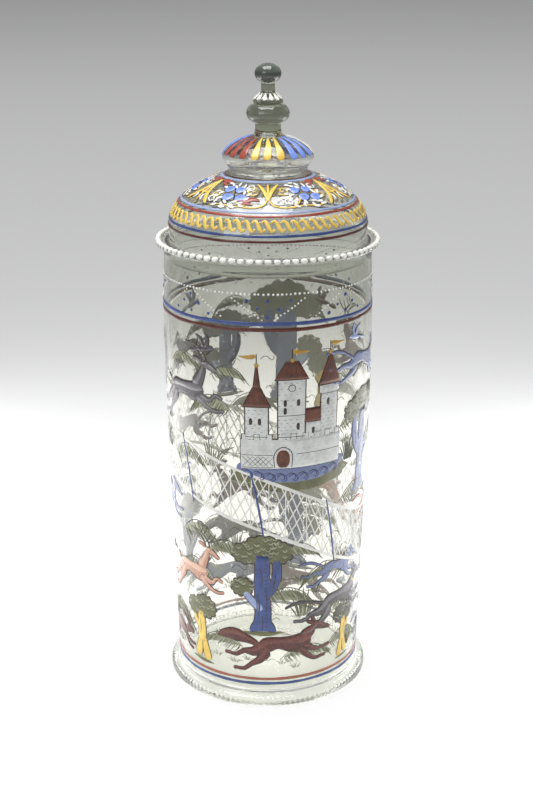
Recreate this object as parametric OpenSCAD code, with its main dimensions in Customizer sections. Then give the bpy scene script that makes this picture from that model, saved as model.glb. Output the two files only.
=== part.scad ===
// Covered glass humpen: a blown beaker on a milled foot ring, with a loose domed lid and a knopped finial.
// All sizes are in millimetres. The table is z = 0, the axis is Z, and the front faces -Y.

/* [Beaker] */
// Height of the rim above the table
rim_h = 318; // [290:1:350]
// Outer radius of the wall just above the heel
base_r = 65; // [62:0.5:69]
// How far the straight wall widens from there to the shoulder
wall_flare = 6.4; // [3:0.1:10]
// Height where the straight wall ends
shoulder_h = 225; // [190:1:255]
// How far the rim is drawn in from the shoulder
rim_draw = 0.8; // [-3:0.1:4]
// Thickness of the blown wall
wall = 2.4; // [1.8:0.1:3.2]
// Round on both edges of the rim
rim_round = 0.7; // [0.4:0.05:0.8]
// Thickness of the bottom
floor_t = 4; // [3:0.1:6]
// Radius of the round between the wall and the bottom
heel_r = 7; // [5:0.5:9]
// Height of the kick pushed up into the bottom
kick_h = 13; // [6:1:22]
// Flat bottom left between the heel and the kick
kick_margin = 9.5; // [5:0.5:18]

/* [Foot ring] */
// How far the ring stands out from the wall
foot_spread = 6.4; // [4:0.1:9]
// Height of the ring where it meets the wall
foot_h = 8.5; // [7:0.1:12]
// How far the ring lifts the bottom off the table
foot_lift = 3; // [2:0.1:4.5]
// Height above the flat bottom where the ring leaves the heel
foot_grip = 1; // [0.5:0.1:2]
// Width of the round from there down to the flat on which the ring stands
foot_inner_w = 4; // [2.5:0.1:5]
// Height of the milled edge
foot_edge_h = 5.2; // [4.6:0.1:6.4]
// Round at the bottom of the milled edge
foot_round = 1.8; // [1:0.1:2.2]
// Slope left between the milled edge and the top of the ring
foot_slope_w = 2.2; // [1:0.1:3]
// Number of milled notches
notch_count = 120; // [60:1:140]
// Radius of the tool that presses a notch
notch_r = 1.1; // [0.7:0.05:1.4]
// Depth of a notch
notch_depth = 0.55; // [0.3:0.05:0.7]

/* [Enamel on the beaker] */
// Thickness of the fired enamel
enamel_t = 0.35; // [0.2:0.05:0.6]
// Width of the blue bands
blue_w = 2.4; // [1.5:0.1:3]
// Width of the brown bands
brown_w = 2; // [1:0.1:2.5]
// Clear glass between a blue and a brown band
band_gap = 1.5; // [0.8:0.1:3]
// Clear glass between the foot ring and the lowest band
low_band_rise = 5.6; // [3:0.1:12]
// Depth of the top edge of the highest band below the rim
high_band_drop = 38; // [30:0.5:60]
// Depth of the row of dots below the rim
dot_drop = 19.3; // [15:0.1:26]
// Number of dots in the row
dot_count = 150; // [90:1:170]
// Radius of a dot
dot_r = 0.85; // [0.6:0.05:1]

/* [Lid] */
// Gap between the lid's collar and the inside of the mouth
collar_clearance = 0.7; // [0.4:0.05:1.5]
// Depth of the collar below the rim
collar_drop = 10; // [6:0.5:14]
// Thickness of the lid's wall
lid_wall = 2.2; // [1.6:0.1:3]
// How far the flange reaches out past the rim
flange_overhang = 2.6; // [2:0.1:6]
// Thickness of the flange
flange_t = 2.4; // [1.8:0.1:3]
// Height of the lid's straight wall above the rim
lid_wall_h = 13; // [10:0.5:20]
// Height of the dome above the straight wall
dome_h = 37.5; // [33:0.5:48]
// Squareness of the dome's shoulder, where 2 is an ellipse
dome_power = 1.95; // [1.8:0.05:2.4]
// Radius of the hole in the crown, under the bulb
crown_hole_r = 13; // [10:0.5:18]
// Width of the glass trail round the flange
trail_w = 3; // [2.6:0.1:5]
// Height of the trail
trail_h = 3; // [2.5:0.1:4]
// Radius of an enamel pearl
pearl_r = 2.4; // [1.8:0.1:2.6]
// Clear trail between two pearls
pearl_gap = 1; // [0.6:0.1:3]
// Depth to which a pearl has sunk on firing
pearl_sink = 1.4; // [0.8:0.1:1.7]

/* [Enamel on the lid] */
// Clear glass between the flange and the lowest band
lid_band_rise = 10.4; // [6:0.1:12]
// Clear glass on both sides of the row of links
link_margin = 1.2; // [0.8:0.1:2]
// Height of the row of links
link_h = 7; // [4:0.1:7.5]
// Number of links
link_count = 64; // [40:1:70]
// Width of the stroke of a link
link_stroke = 1.7; // [1:0.1:2]
// How far a link leans over along the row
link_lean = 3.6; // [1:0.1:4]
// Width of the brown line round the foot of the bulb
crown_line_w = 1; // [0.6:0.1:2]
// Width of the pale blue band outside that line
crown_band_w = 4; // [2:0.1:8]

/* [Bulb] */
// Radius of the bulb's foot, where it is sealed to the dome
bulb_base_r = 28.2; // [26:0.1:32]
// How far the waist above that foot is drawn in
bulb_waist_in = 1.8; // [1:0.1:5]
// How far the widest part of the bulb stands out past its foot
bulb_spread = 2.5; // [0:0.1:5]
// Height of the waist above the dome under it
bulb_flare_h = 2.2; // [1:0.1:3]
// Height from the waist to the greatest radius
bulb_swell_h = 9.4; // [7:0.1:14]
// Height from the greatest radius to the top
bulb_shoulder_h = 12.7; // [11:0.1:20]
// Squareness of the bulb's shoulder, where 2 is an ellipse
bulb_power = 1.6; // [1.4:0.05:2.2]
// Radius of the seal at the bulb's top
bulb_top_r = 10; // [9:0.1:13]
// Thickness of the bulb's wall
bulb_wall = 2; // [1.5:0.1:3]
// Thickness of the glass at the bulb's top
bulb_cap_t = 3.5; // [2.5:0.1:5]
// Petals of one colour side by side
petal_group = 3; // [2:1:4]
// Greatest width of a petal
petal_w = 6; // [4:0.1:7]
// Clear glass between the petals' tips and the seal
petal_tip_gap = 2.5; // [1.5:0.1:5]

/* [Finial] */
// Radius of the neck above the bulb
neck_r = 8.5; // [7:0.1:8.8]
// Height of the neck
neck_h = 8.9; // [6:0.1:12]
// Greatest radius of the flattened knop
knop_r = 14.4; // [12:0.1:17]
// Height of the knop
knop_h = 12.2; // [9:0.1:16]
// Radius of the crimped skirt above the knop
skirt_r = 10; // [8.8:0.1:12]
// Height of the skirt's crimped edge
skirt_edge_h = 2; // [1:0.1:3.5]
// Height of the skirt above that edge
skirt_h = 6.6; // [4:0.1:9]
// Number of crimps, and of the petals between them
crimp_count = 12; // [8:1:14]
// Radius of the tool that presses a crimp
crimp_r = 1.2; // [0.8:0.1:1.5]
// Depth of a crimp
crimp_depth = 0.7; // [0.4:0.1:0.9]
// Radius of the stem under the ball
stem_r = 4.6; // [3.5:0.1:5.5]
// Height of the stem
stem_h = 4.4; // [3:0.1:8]
// Greatest radius of the ball
ball_r = 8.9; // [7:0.05:11]
// Height of the ball
ball_h = 13.4; // [10:0.1:17]

/* [Hidden] */
$fn = 96;
// Steps in which each long curve of an outline, and each small round, is drawn
steps = 12;
round_steps = 4;
// Direction of the front, seen from above
front = -90;

CLEAR_GLASS = [0.66, 0.69, 0.62, 0.55];
THICK_GLASS = [0.52, 0.54, 0.44, 0.8];
WHITE = [0.93, 0.92, 0.87];
BLUE = [0.20, 0.30, 0.62];
PALE_BLUE = [0.55, 0.66, 0.80];
BROWN = [0.30, 0.13, 0.10];
YELLOW = [0.90, 0.74, 0.24];
RED = [0.58, 0.17, 0.12];

// Part of an outline that hollows up from a foot at [r0, z] to the radius r1, level at first and then upright
function flare(r0, r1, z, h) =
    [for (i = [0:steps]) let(a = 90 * i / steps) [r0 + (r1 - r0) * sin(a), z + h * (1 - cos(a))]];
// Part of an outline that swells from the radius r0 to r1, upright at both ends
function swell(r0, r1, z, h) =
    [for (i = [0:steps]) let(s = i / steps) [r0 + (r1 - r0) * (1 - cos(180 * s)) / 2, z + h * s]];
// Part of an outline that closes from the radius r0, upright, to r1, level, as a quarter of a superellipse
function shoulder(r0, r1, z, h, power) =
    [for (i = [0:steps]) let(a = 90 * i / steps)
        [r1 + (r0 - r1) * pow(cos(a), 2 / power), z + h * pow(sin(a), 2 / power)]];
// Part of an outline that bulges out of the radius r0 to r1 and back, as half an ellipse
function bulge(r0, r1, z, h) =
    [for (i = [0:2 * steps]) let(a = 90 * i / steps - 90)
        [r0 + (r1 - r0) * cos(a), z + h * (1 + sin(a)) / 2]];
// Round of radius r about the centre [cr, cz] from the angle a0 to a1
function round_to(cr, cz, r, a0, a1) =
    [for (i = [0:round_steps]) let(a = a0 + (a1 - a0) * i / round_steps) [cr + r * cos(a), cz + r * sin(a)]];
function reversed(list) = [for (i = [len(list) - 1:-1:0]) list[i]];
function lifted(list, dr, dz) = [for (p = list) p + [dr, dz]];
// Each point of an outline moved out by d, square to the outline there
function proud(list, d) =
    [for (i = [0:len(list) - 1])
        let(along = list[min(i + 1, len(list) - 1)] - list[max(i - 1, 0)])
        list[i] + d * [along[1], -along[0]] / norm(along)];
// Points of an outline that runs upwards, between the heights z0 and z1, with its ends cut at those heights
function height_of(list) = [for (p = list) [p[1], p[0]]];
function between(list, z0, z1) =
    concat([[lookup(z0, height_of(list)), z0]],
           [for (p = list) if (p[1] > z0 && p[1] < z1) p],
           [[lookup(z1, height_of(list)), z1]]);

// Beaker: outer skin from the flat bottom up to the rim
shoulder_r = base_r + wall_flare;
rim_r = shoulder_r - rim_draw;
bottom_r = base_r - heel_r;
heel_top = foot_lift + heel_r;
rim_edge = rim_h - rim_round;
wall_slope = wall_flare / (shoulder_h - heel_top);
shoulder_bend_r = shoulder_r + wall_slope * (rim_edge - shoulder_h) / 2;
function shoulder_at(s) = pow(1 - s, 2) * shoulder_r + 2 * s * (1 - s) * shoulder_bend_r + s * s * rim_r;
wall_curve = [for (i = [0:steps]) [shoulder_at(i / steps), shoulder_h + (rim_edge - shoulder_h) * i / steps]];
heel_curve = round_to(bottom_r, heel_top, heel_r, -90, 0);
skin = concat(heel_curve, wall_curve);
function skin_r(z) = lookup(z, height_of(skin));
mouth_r = rim_r - wall;

// Beaker: inner skin and the kick
inner_heel_r = heel_r - wall;
inner_heel_top = foot_lift + floor_t + inner_heel_r;
inner_heel = round_to(bottom_r, inner_heel_top, inner_heel_r, -90, 0);
inner_wall = [for (p = between(skin, inner_heel_top, rim_edge)) if (p[1] > inner_heel_top) p - [wall, 0]];
kick_r = bottom_r - kick_margin;
kick = [for (i = [0:steps]) let(s = i / steps) [kick_r * s, foot_lift + kick_h * (1 + cos(180 * s)) / 2]];
rim_outer = round_to(rim_r - rim_round, rim_edge, rim_round, 0, 90);
rim_inner = round_to(mouth_r + rim_round, rim_edge, rim_round, 90, 180);

// Foot ring, wound round the heel
foot_r = base_r + foot_spread;
grip_z = foot_lift + foot_grip;
grip_r = skin_r(grip_z);
foot_inner = flare(grip_r + foot_inner_w, grip_r, 0, grip_z);

// Enamel bands on the beaker, by the height of their lower edge
lower_blue_z = foot_h + low_band_rise;
lower_brown_z = lower_blue_z + blue_w + band_gap;
upper_blue_z = rim_h - high_band_drop - blue_w;
upper_brown_z = upper_blue_z - band_gap - brown_w;
dot_z = rim_h - dot_drop;

// Lid: collar, flange and dome
lid_r = mouth_r - collar_clearance;
collar_edge = lid_wall / 2;
flange_r = rim_r + flange_overhang;
flange_top = rim_h + flange_t;
spring_z = rim_h + lid_wall_h;
dome = shoulder(lid_r, 0, spring_z, dome_h, dome_power);
dome_inside = shoulder(lid_r - lid_wall, 0, spring_z, dome_h - lid_wall, dome_power);
function crown_z(list, r) = lookup(r, reversed(list));
// Points of the dome between the radii r0 and r1, from the outside in
function dome_ring(list, r0, r1) =
    concat([[r1, crown_z(list, r1)]],
           [for (p = list) if (p[0] > r0 && p[0] < r1) p],
           [[r0, crown_z(list, r0)]]);
lid_skin = concat([[lid_r, flange_top]], dome);

// Trail and pearls round the flange
trail_r = flange_r + trail_w;
trail_top = rim_h + trail_h;
trail_round = trail_w / 3;
pearl_ring_r = flange_r + trail_w / 2;
pearl_count = floor(2 * PI * pearl_ring_r / (2 * pearl_r + pearl_gap));

// Enamel bands on the lid, by the height of their lower edge
lid_low_brown_z = flange_top + lid_band_rise;
lid_low_blue_z = lid_low_brown_z + brown_w + band_gap;
link_z = lid_low_blue_z + blue_w + link_margin;
link_reach = lid_r - lookup(link_z + link_h, height_of(lid_skin)) + link_margin;
lid_high_brown_z = link_z + link_h + link_margin;
lid_high_blue_z = lid_high_brown_z + brown_w;

// Bulb
bulb_waist_r = bulb_base_r - bulb_waist_in;
bulb_r = bulb_base_r + bulb_spread;
bulb_foot = [for (p = flare(bulb_base_r, bulb_waist_r, 0, bulb_flare_h)) [p[0], crown_z(dome, p[0]) + p[1]]];
waist_z = crown_z(dome, bulb_waist_r) + bulb_flare_h;
equator_z = waist_z + bulb_swell_h;
bulb_top = equator_z + bulb_shoulder_h;
bulb_shoulder = shoulder(bulb_r, bulb_top_r, equator_z, bulb_shoulder_h, bulb_power);
bulb_skin = concat(bulb_foot, swell(bulb_waist_r, bulb_r, waist_z, bulb_swell_h), bulb_shoulder);
bulb_mouth_r = bulb_waist_r - bulb_wall;
bulb_inside = concat(swell(bulb_mouth_r, bulb_r - bulb_wall, waist_z, bulb_swell_h),
                     shoulder(bulb_r - bulb_wall, 0, equator_z, bulb_shoulder_h - bulb_cap_t, bulb_power));
petal_tip_r = bulb_top_r + petal_tip_gap;
petal_end_r = bulb_r + enamel_t;
// Colours of the groups of petals, from the front one round to the right
PETAL_COLOURS = ["yellow", "blue", "white", "red", "yellow", "blue", "red"];
petal_pitch = 360 / (len(PETAL_COLOURS) * petal_group);
// Share of its full width that a petal has at its tip
petal_tip_share = 0.15;

// Finial, from the bulb's seal up
neck_top = bulb_top + neck_h;
knop_top = neck_top + knop_h;
skirt_edge_top = knop_top + skirt_edge_h;
skirt_top = skirt_edge_top + skirt_h;
stem_top = skirt_top + stem_h;
skirt_curve = swell(skirt_r, stem_r, skirt_edge_top, skirt_h);

// Solid or ring of revolution with the outline given as [radius, height] points, less those that repeat
module turned(outline) {
    apart = 0.001;
    rotate_extrude()
        polygon([for (i = [0:len(outline) - 1])
            if (i == 0 || norm(outline[i] - outline[i - 1]) > apart) outline[i]]);
}

// Round cap of the height given, cut from a ball of the radius given, that rises from the plane z = 0
module cap(ball, height) {
    difference() {
        translate([0, 0, height - ball])
            sphere(ball);
        translate([-2 * ball, -2 * ball, -2 * ball])
            cube([4 * ball, 4 * ball, 2 * ball]);
    }
}

// Enamel band between two heights on the upward outline that carries it
module band(carrier, z0, width) {
    inner = between(carrier, z0, z0 + width);
    turned(concat(inner, reversed(lifted(inner, enamel_t, 0))));
}

// Enamel ring on the dome's crown between two radii
module crown_ring(r0, width) {
    under = dome_ring(dome, r0, r0 + width);
    turned(concat(under, reversed(lifted(under, 0, enamel_t))));
}

module around(count, first = 0) {
    for (i = [0:count - 1])
        rotate(first + 360 * i / count)
            children();
}

module beaker_body() {
    color(CLEAR_GLASS)
        turned(concat(kick, skin, rim_outer, rim_inner, reversed(inner_wall), reversed(inner_heel),
                      reversed(lifted(kick, 0, floor_t))));
}

module foot_ring() {
    seat = between(skin, grip_z, foot_h);
    edge = round_to(foot_r - foot_round, foot_round, foot_round, -90, 0);
    color(THICK_GLASS)
        difference() {
            turned(concat(edge, [[foot_r, foot_edge_h], [foot_r - foot_slope_w, (foot_edge_h + foot_h) / 2]],
                          reversed(seat), reversed(foot_inner)));
            around(notch_count)
                translate([foot_r + notch_r - notch_depth, 0, -1])
                    cylinder(h = foot_h + 2, r = notch_r);
        }
}

module lower_blue_band() { color(BLUE) band(skin, lower_blue_z, blue_w); }
module lower_brown_band() { color(BROWN) band(skin, lower_brown_z, brown_w); }
module upper_brown_band() { color(BROWN) band(skin, upper_brown_z, brown_w); }
module upper_blue_band() { color(BLUE) band(skin, upper_blue_z, blue_w); }

module rim_dots() {
    lean = atan((skin_r(dot_z + dot_r) - skin_r(dot_z - dot_r)) / (2 * dot_r));
    color(WHITE)
        around(dot_count)
            translate([skin_r(dot_z), 0, dot_z])
                rotate([0, 90 + lean, 0])
                    cap(dot_r, enamel_t);
}

module lid_dome() {
    collar_end = round_to(lid_r - collar_edge, rim_h - collar_drop + collar_edge, collar_edge, -180, 0);
    flange = [[lid_r, rim_h], [flange_r, rim_h], [flange_r, flange_top], [lid_r, flange_top]];
    inside = dome_ring(dome_inside, crown_hole_r, lid_r - lid_wall);
    color(CLEAR_GLASS)
        turned(concat(collar_end, flange, dome_ring(dome, crown_hole_r, lid_r), reversed(inside)));
}

module flange_trail() {
    low = round_to(trail_r - trail_round, rim_h + trail_round, trail_round, -90, 0);
    high = round_to(trail_r - trail_round, trail_top - trail_round, trail_round, 0, 90);
    color(CLEAR_GLASS)
        turned(concat([[flange_r, rim_h]], low, high, [[flange_r, trail_top]]));
}

module flange_pearls() {
    color(WHITE)
        around(pearl_count)
            translate([pearl_ring_r, 0, trail_top])
                cap(pearl_r, 2 * pearl_r - pearl_sink);
}

module lid_lower_brown_band() { color(BROWN) band(lid_skin, lid_low_brown_z, brown_w); }
module lid_lower_blue_band() { color(BLUE) band(lid_skin, lid_low_blue_z, blue_w); }
module lid_upper_brown_band() { color(BROWN) band(lid_skin, lid_high_brown_z, brown_w); }
module lid_upper_blue_band() { color(PALE_BLUE) band(lid_skin, lid_high_blue_z, blue_w); }
module crown_brown_line() { color(BROWN) crown_ring(bulb_base_r, crown_line_w); }
module crown_blue_band() { color(PALE_BLUE) crown_ring(bulb_base_r + crown_line_w, crown_band_w); }

// Row of leaning strokes, cut out of a whole band by flat bars that point outwards
module lid_links() {
    side = [link_stroke / 2, 0];
    top = [-link_lean / 2, link_h];
    foot = [link_lean / 2, 0];
    color(YELLOW)
        intersection() {
            band(lid_skin, link_z, link_h);
            around(link_count, front)
                translate([lid_r - link_reach, 0, link_z])
                    rotate([90, 0, 90])
                        linear_extrude(height = link_reach + 2 * enamel_t)
                            polygon([top - side, top + side, foot + side, foot - side]);
        }
}

module finial_bulb() {
    seal = dome_ring(dome, bulb_mouth_r, bulb_base_r);
    color(THICK_GLASS)
        turned(concat(bulb_skin, [[0, bulb_top]], reversed(bulb_inside), reversed(seal)));
}

// Seen from above, a petal is a drop with its tip towards the axis
module petal() {
    length = petal_end_r - petal_tip_r;
    tip = petal_tip_share * petal_w / 2;
    half = [for (i = [0:round_steps]) let(s = i / round_steps)
        [petal_tip_r + s * length, tip + (petal_w / 2 - tip) * sin(90 * s)]];
    polygon(concat(half, reversed([for (p = half) [p[0], -p[1]]])));
}

// Petals of one colour, cut out of the bulb's coat of enamel
module petals(colour) {
    coat = between(bulb_shoulder, equator_z, crown_z(bulb_shoulder, petal_tip_r));
    intersection() {
        turned(concat(coat, reversed(proud(coat, enamel_t))));
        for (group = [0:len(PETAL_COLOURS) - 1], i = [0:petal_group - 1])
            if (PETAL_COLOURS[group] == colour)
                rotate(front + petal_pitch * (group * petal_group + i - (petal_group - 1) / 2))
                    translate([0, 0, equator_z - enamel_t])
                        linear_extrude(height = bulb_shoulder_h)
                            petal();
    }
}

module bulb_petals_yellow() { color(YELLOW) petals("yellow"); }
module bulb_petals_blue() { color(BLUE) petals("blue"); }
module bulb_petals_white() { color(WHITE) petals("white"); }
module bulb_petals_red() { color(RED) petals("red"); }

module finial_knop() {
    neck = flare(bulb_top_r, neck_r, bulb_top, neck_h);
    color(THICK_GLASS)
        turned(concat([[0, bulb_top]], neck, bulge(neck_r, knop_r, neck_top, knop_h), [[0, knop_top]]));
}

module finial_skirt() {
    color(THICK_GLASS)
        difference() {
            turned(concat([[0, knop_top], [skirt_r, knop_top]], skirt_curve, [[0, skirt_top]]));
            around(crimp_count, front)
                translate([skirt_r + crimp_r - crimp_depth, 0, knop_top - 1])
                    cylinder(h = skirt_h + 2, r = crimp_r);
        }
}

module skirt_petals() {
    coat = between(skirt_curve, skirt_edge_top + crimp_depth, skirt_top - crimp_depth);
    half_angle = 90 / crimp_count;
    side = [1, tan(half_angle)];
    other_side = [1, -tan(half_angle)];
    color(WHITE)
        intersection() {
            turned(concat(coat, reversed(proud(coat, enamel_t))));
            around(crimp_count, front + 2 * half_angle)
                translate([0, 0, skirt_edge_top])
                    linear_extrude(height = skirt_h)
                        polygon([side, other_side, skirt_r * other_side, skirt_r * side]);
        }
}

module finial_ball() {
    round = bulge(0, ball_r, stem_top, ball_h);
    above_stem = [for (p = round) if (p[0] >= stem_r || p[1] > stem_top + ball_h / 2) p];
    color(THICK_GLASS)
        turned(concat([[0, skirt_top], [stem_r, skirt_top]], above_stem));
}

beaker_body();
foot_ring();
lower_blue_band();
lower_brown_band();
upper_brown_band();
upper_blue_band();
rim_dots();
lid_dome();
flange_trail();
flange_pearls();
lid_lower_brown_band();
lid_lower_blue_band();
lid_links();
lid_upper_brown_band();
lid_upper_blue_band();
crown_brown_line();
crown_blue_band();
finial_bulb();
bulb_petals_yellow();
bulb_petals_blue();
bulb_petals_white();
bulb_petals_red();
finial_knop();
finial_skirt();
skirt_petals();
finial_ball();
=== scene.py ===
"""Covered humpen of blown glass with fired enamels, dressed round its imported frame.

Lengths are in millimetres until a mesh is made. The table is z = 0, the axis is Z and the front faces -Y.
On a skin of the vessel a point is (s, t, h): s runs round to the right from the front, t runs up the outline
and h stands out from the glass.
"""

import bpy
import numpy as np
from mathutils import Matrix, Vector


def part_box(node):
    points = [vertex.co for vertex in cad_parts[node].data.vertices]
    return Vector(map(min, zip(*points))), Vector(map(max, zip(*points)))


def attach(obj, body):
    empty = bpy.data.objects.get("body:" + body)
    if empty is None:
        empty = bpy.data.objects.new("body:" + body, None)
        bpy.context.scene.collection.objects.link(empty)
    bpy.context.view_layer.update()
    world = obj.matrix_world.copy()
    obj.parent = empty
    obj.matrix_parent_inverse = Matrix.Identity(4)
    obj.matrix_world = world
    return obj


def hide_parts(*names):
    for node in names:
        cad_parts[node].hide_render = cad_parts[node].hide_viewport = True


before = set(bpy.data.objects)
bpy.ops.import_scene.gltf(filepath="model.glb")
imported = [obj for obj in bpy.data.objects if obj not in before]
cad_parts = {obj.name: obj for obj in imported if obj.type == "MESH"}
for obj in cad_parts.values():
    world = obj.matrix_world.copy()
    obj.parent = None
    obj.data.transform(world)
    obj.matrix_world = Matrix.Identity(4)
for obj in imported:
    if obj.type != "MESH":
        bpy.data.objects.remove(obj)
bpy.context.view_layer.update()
scene = bpy.context.scene

MM = 0.001
TAU = 2 * np.pi
chance = np.random.default_rng(1672)


def stacked(*parts):
    """Numbers or arrays side by side on a new last axis, each spread to the shape that they share."""
    return np.stack(np.broadcast_arrays(*parts), axis=-1)


def joined(*parts):
    """Rows of points, one part after another."""
    return np.concatenate(parts)


def round_axis(r, a, z):
    """Points at a radius, at an angle to the right from the front, and at a height."""
    return stacked(r * np.sin(a), -r * np.cos(a), z)


# Shader trees

class Shade:
    """One output of a node, on which arithmetic adds the Math nodes that it needs."""

    def __init__(self, finish, socket):
        self.finish = finish
        self.socket = socket

    def math(self, operation, first, second):
        """A Math node on two values."""
        return self.finish.node("ShaderNodeMath", {"operation": operation}, {0: first, 1: second})

    def __add__(self, other):
        return self.math("ADD", self, other)

    def __radd__(self, other):
        return self.math("ADD", other, self)

    def __sub__(self, other):
        return self.math("SUBTRACT", self, other)

    def __rsub__(self, other):
        return self.math("SUBTRACT", other, self)

    def __mul__(self, other):
        return self.math("MULTIPLY", self, other)

    def __rmul__(self, other):
        return self.math("MULTIPLY", other, self)

    def __truediv__(self, other):
        return self.math("DIVIDE", self, other)

    def __rtruediv__(self, other):
        return self.math("DIVIDE", other, self)

    def __pow__(self, other):
        return self.math("POWER", self, other)

    def __rpow__(self, other):
        return self.math("POWER", other, self)

    def __or__(self, other):
        return self.math("MAXIMUM", self, other)

    def __ror__(self, other):
        return self.math("MAXIMUM", other, self)


class Finish:
    """The node tree of a material or of the world. Every node comes from the method called node."""

    def __init__(self, owner):
        owner.use_nodes = True
        self.owner = owner
        self.tree = owner.node_tree
        self.tree.nodes.clear()

    def node(self, kind, settings=None, values=None, output=0):
        """Adds a node, sets its settings, then its sockets to values or links, and returns one output."""
        made = self.tree.nodes.new(kind)
        for name, value in (settings or {}).items():
            setattr(made, name, value)
        for name, value in (values or {}).items():
            if isinstance(value, Shade):
                self.tree.links.new(value.socket, made.inputs[name])
            else:
                made.inputs[name].default_value = value
        return Shade(self, made.outputs[output]) if made.outputs else None

    def place(self):
        """The place on the object, in metres."""
        return self.node("ShaderNodeTexCoord", output="Object")

    def noise(self, place, scale, detail, rough):
        """Cloudy values about 0.5, with one cloud in about 1 / scale of a metre."""
        return self.node("ShaderNodeTexNoise", {}, {"Vector": place, "Scale": scale, "Detail": detail,
                                                    "Roughness": rough}, "Fac")

    def ramp(self, value, low, high):
        """A value that goes smoothly from 0 at low to 1 at high."""
        return self.node("ShaderNodeMapRange", {"interpolation_type": "SMOOTHSTEP"},
                         {"Value": value, "From Min": low, "From Max": high})

    def blend(self, share, first, second):
        """A colour that goes from first to second with the share."""
        return self.node("ShaderNodeMix", {"data_type": "RGBA"}, {0: share, 6: first, 7: second}, 2)

    def bump(self, height, depth, strength):
        """A normal that follows a height between 0 and 1 over a depth in metres."""
        return self.node("ShaderNodeBump", {}, {"Height": height, "Distance": depth, "Strength": strength})

    def end(self, shader, kind="ShaderNodeOutputMaterial"):
        """Links the shader to the output, and returns the material or world."""
        self.node(kind, {}, {"Surface": shader})
        return self.owner


def tone(red, green, blue):
    """Linear colour of a screen colour given in 0 to 255: the screen's own power curve, undone."""
    c = np.array([red, green, blue]) / 255
    c = np.where(c > 0.04045, ((c + 0.055) / 1.055) ** 2.4, c / 12.92)
    return (float(c[0]), float(c[1]), float(c[2]), 1.0)


# Pale back colour of enamel: partly its chalky back, partly painted light that brightens the painting seen
# from inside
CHALK_AND_PAINTED_LIGHT = (208, 207, 198)
FIRED = 0.17
PAINTED = 0.21
CLOUDS = 160
GRAIN = 900
CORDS = 38
SEEDS = 420


def enamel(name, body, shade, gloss=FIRED, scale=1.0, back=CHALK_AND_PAINTED_LIGHT, covers=0.3):
    """Fired enamel: body colour in cloudy coats that thin out to the shade, with fine pits.

    Where it faces the axis, the underside shows through the glass: there the back colour covers a share.
    That back colour is painted light and shade: by default a pale colour that is partly the chalky back of
    enamel and partly painted light, which brightens the painting seen from inside; the dots take a grey
    painted shade.
    """
    f = Finish(bpy.data.materials.new(name))
    place = f.place()
    level = f.node("ShaderNodeVectorMath", {"operation": "MULTIPLY"}, {0: place, 1: (1.0, 1.0, 0.0)},
                   "Vector")
    normal = f.node("ShaderNodeNewGeometry", output="Normal")
    outward = f.node("ShaderNodeVectorMath", {"operation": "DOT_PRODUCT"}, {0: normal, 1: level}, "Value")
    under = 1 - f.ramp(outward, -0.02, 0.0)
    clouds = f.noise(place, CLOUDS * scale, 3.0, 0.6)
    grain = f.noise(place, GRAIN, 2.0, 0.6)
    thin = f.ramp(clouds * 0.75 + grain * 0.25, 0.42, 0.66)
    colour = f.blend(thin * 0.8, tone(*body), tone(*shade))
    # Painted light and shade on the underside: the back colour stands in for how the enamel seen from inside
    # is lit
    colour = f.blend(under * covers, colour, tone(*back))
    relief = f.bump(clouds * 0.6 + grain * 0.4, 0.12 * MM, 0.35)
    return f.end(f.node("ShaderNodeBsdfPrincipled", {}, {
        "Base Color": colour, "Roughness": gloss + grain * 0.16 - 0.08 + thin * 0.1, "IOR": 1.52,
        "Normal": relief}))


def blown_glass(name, tints, wave, worn):
    """Blown glass: its tint changes with the height, cords bend its surface, and lamps pass through it.

    tints holds (low, high, colour): each colour takes over from the one before between its two heights.
    Below the worn height the glass is scratched and a little dull from standing.
    """
    f = Finish(bpy.data.materials.new(name))
    place = f.place()
    height = f.node("ShaderNodeSeparateXYZ", {}, {0: place}, "Z")
    tint = tints[0][2]
    for low, high, colour in tints[1:]:
        tint = f.blend(f.ramp(height, low * MM, high * MM), tint, colour)
    stretched = f.node("ShaderNodeMapping", {}, {"Vector": place, "Scale": (1.0, 1.0, 0.35)})
    cords = f.noise(stretched, CORDS, 2.0, 0.45)
    seeds = f.noise(place, SEEDS, 1.0, 0.4)
    relief = f.bump(cords * 0.85 + f.ramp(seeds, 0.66, 0.8) * 0.15, wave * MM, 1.0)
    dull = 0.015 + 0.1 * (1 - f.ramp(height, (worn - 2) * MM, worn * MM))
    glass = f.node("ShaderNodeBsdfPrincipled", {}, {
        "Base Color": tint, "Roughness": dull, "IOR": 1.5, "Transmission Weight": 1.0, "Normal": relief})
    clear = f.node("ShaderNodeBsdfTransparent", {}, {"Color": (0.95, 0.955, 0.93, 1.0)})
    shadow = f.node("ShaderNodeLightPath", output="Is Shadow Ray")
    return f.end(f.node("ShaderNodeMixShader", {}, {0: shadow, 1: glass, 2: clear}))


# Skins, ribbons and blobs

# Depth by which a stroke lies sunk in the glass

SUNK = 0.1


class Skin:
    """Outer surface of turned glass: radius and height along t, with a swell that goes round it."""

    def __init__(self, r, z, ref, t=None, swell=None):
        self.r = r
        self.z = z
        steps = np.hypot(np.diff(r), np.diff(z))
        self.t = np.concatenate([[0.0], np.cumsum(steps)]) if t is None else t
        out = np.stack([np.gradient(z), -np.gradient(r)])
        self.out = out / np.hypot(*out)
        self.ref = ref
        self.swell = swell

    def up_to(self, z):
        """The t at which the outline has reached a height."""
        return np.interp(z, self.z, self.t)

    def __call__(self, s, t, h):
        """Points of the skin: the angle is s / ref, and h follows the outline's normal at t."""
        a = s / self.ref
        lift = h if self.swell is None else h + self.swell(a, t)
        r = np.interp(t, self.t, self.r) + lift * np.interp(t, self.t, self.out[0])
        z = np.interp(t, self.t, self.z) + lift * np.interp(t, self.t, self.out[1])
        return round_axis(r, a, z)


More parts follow.
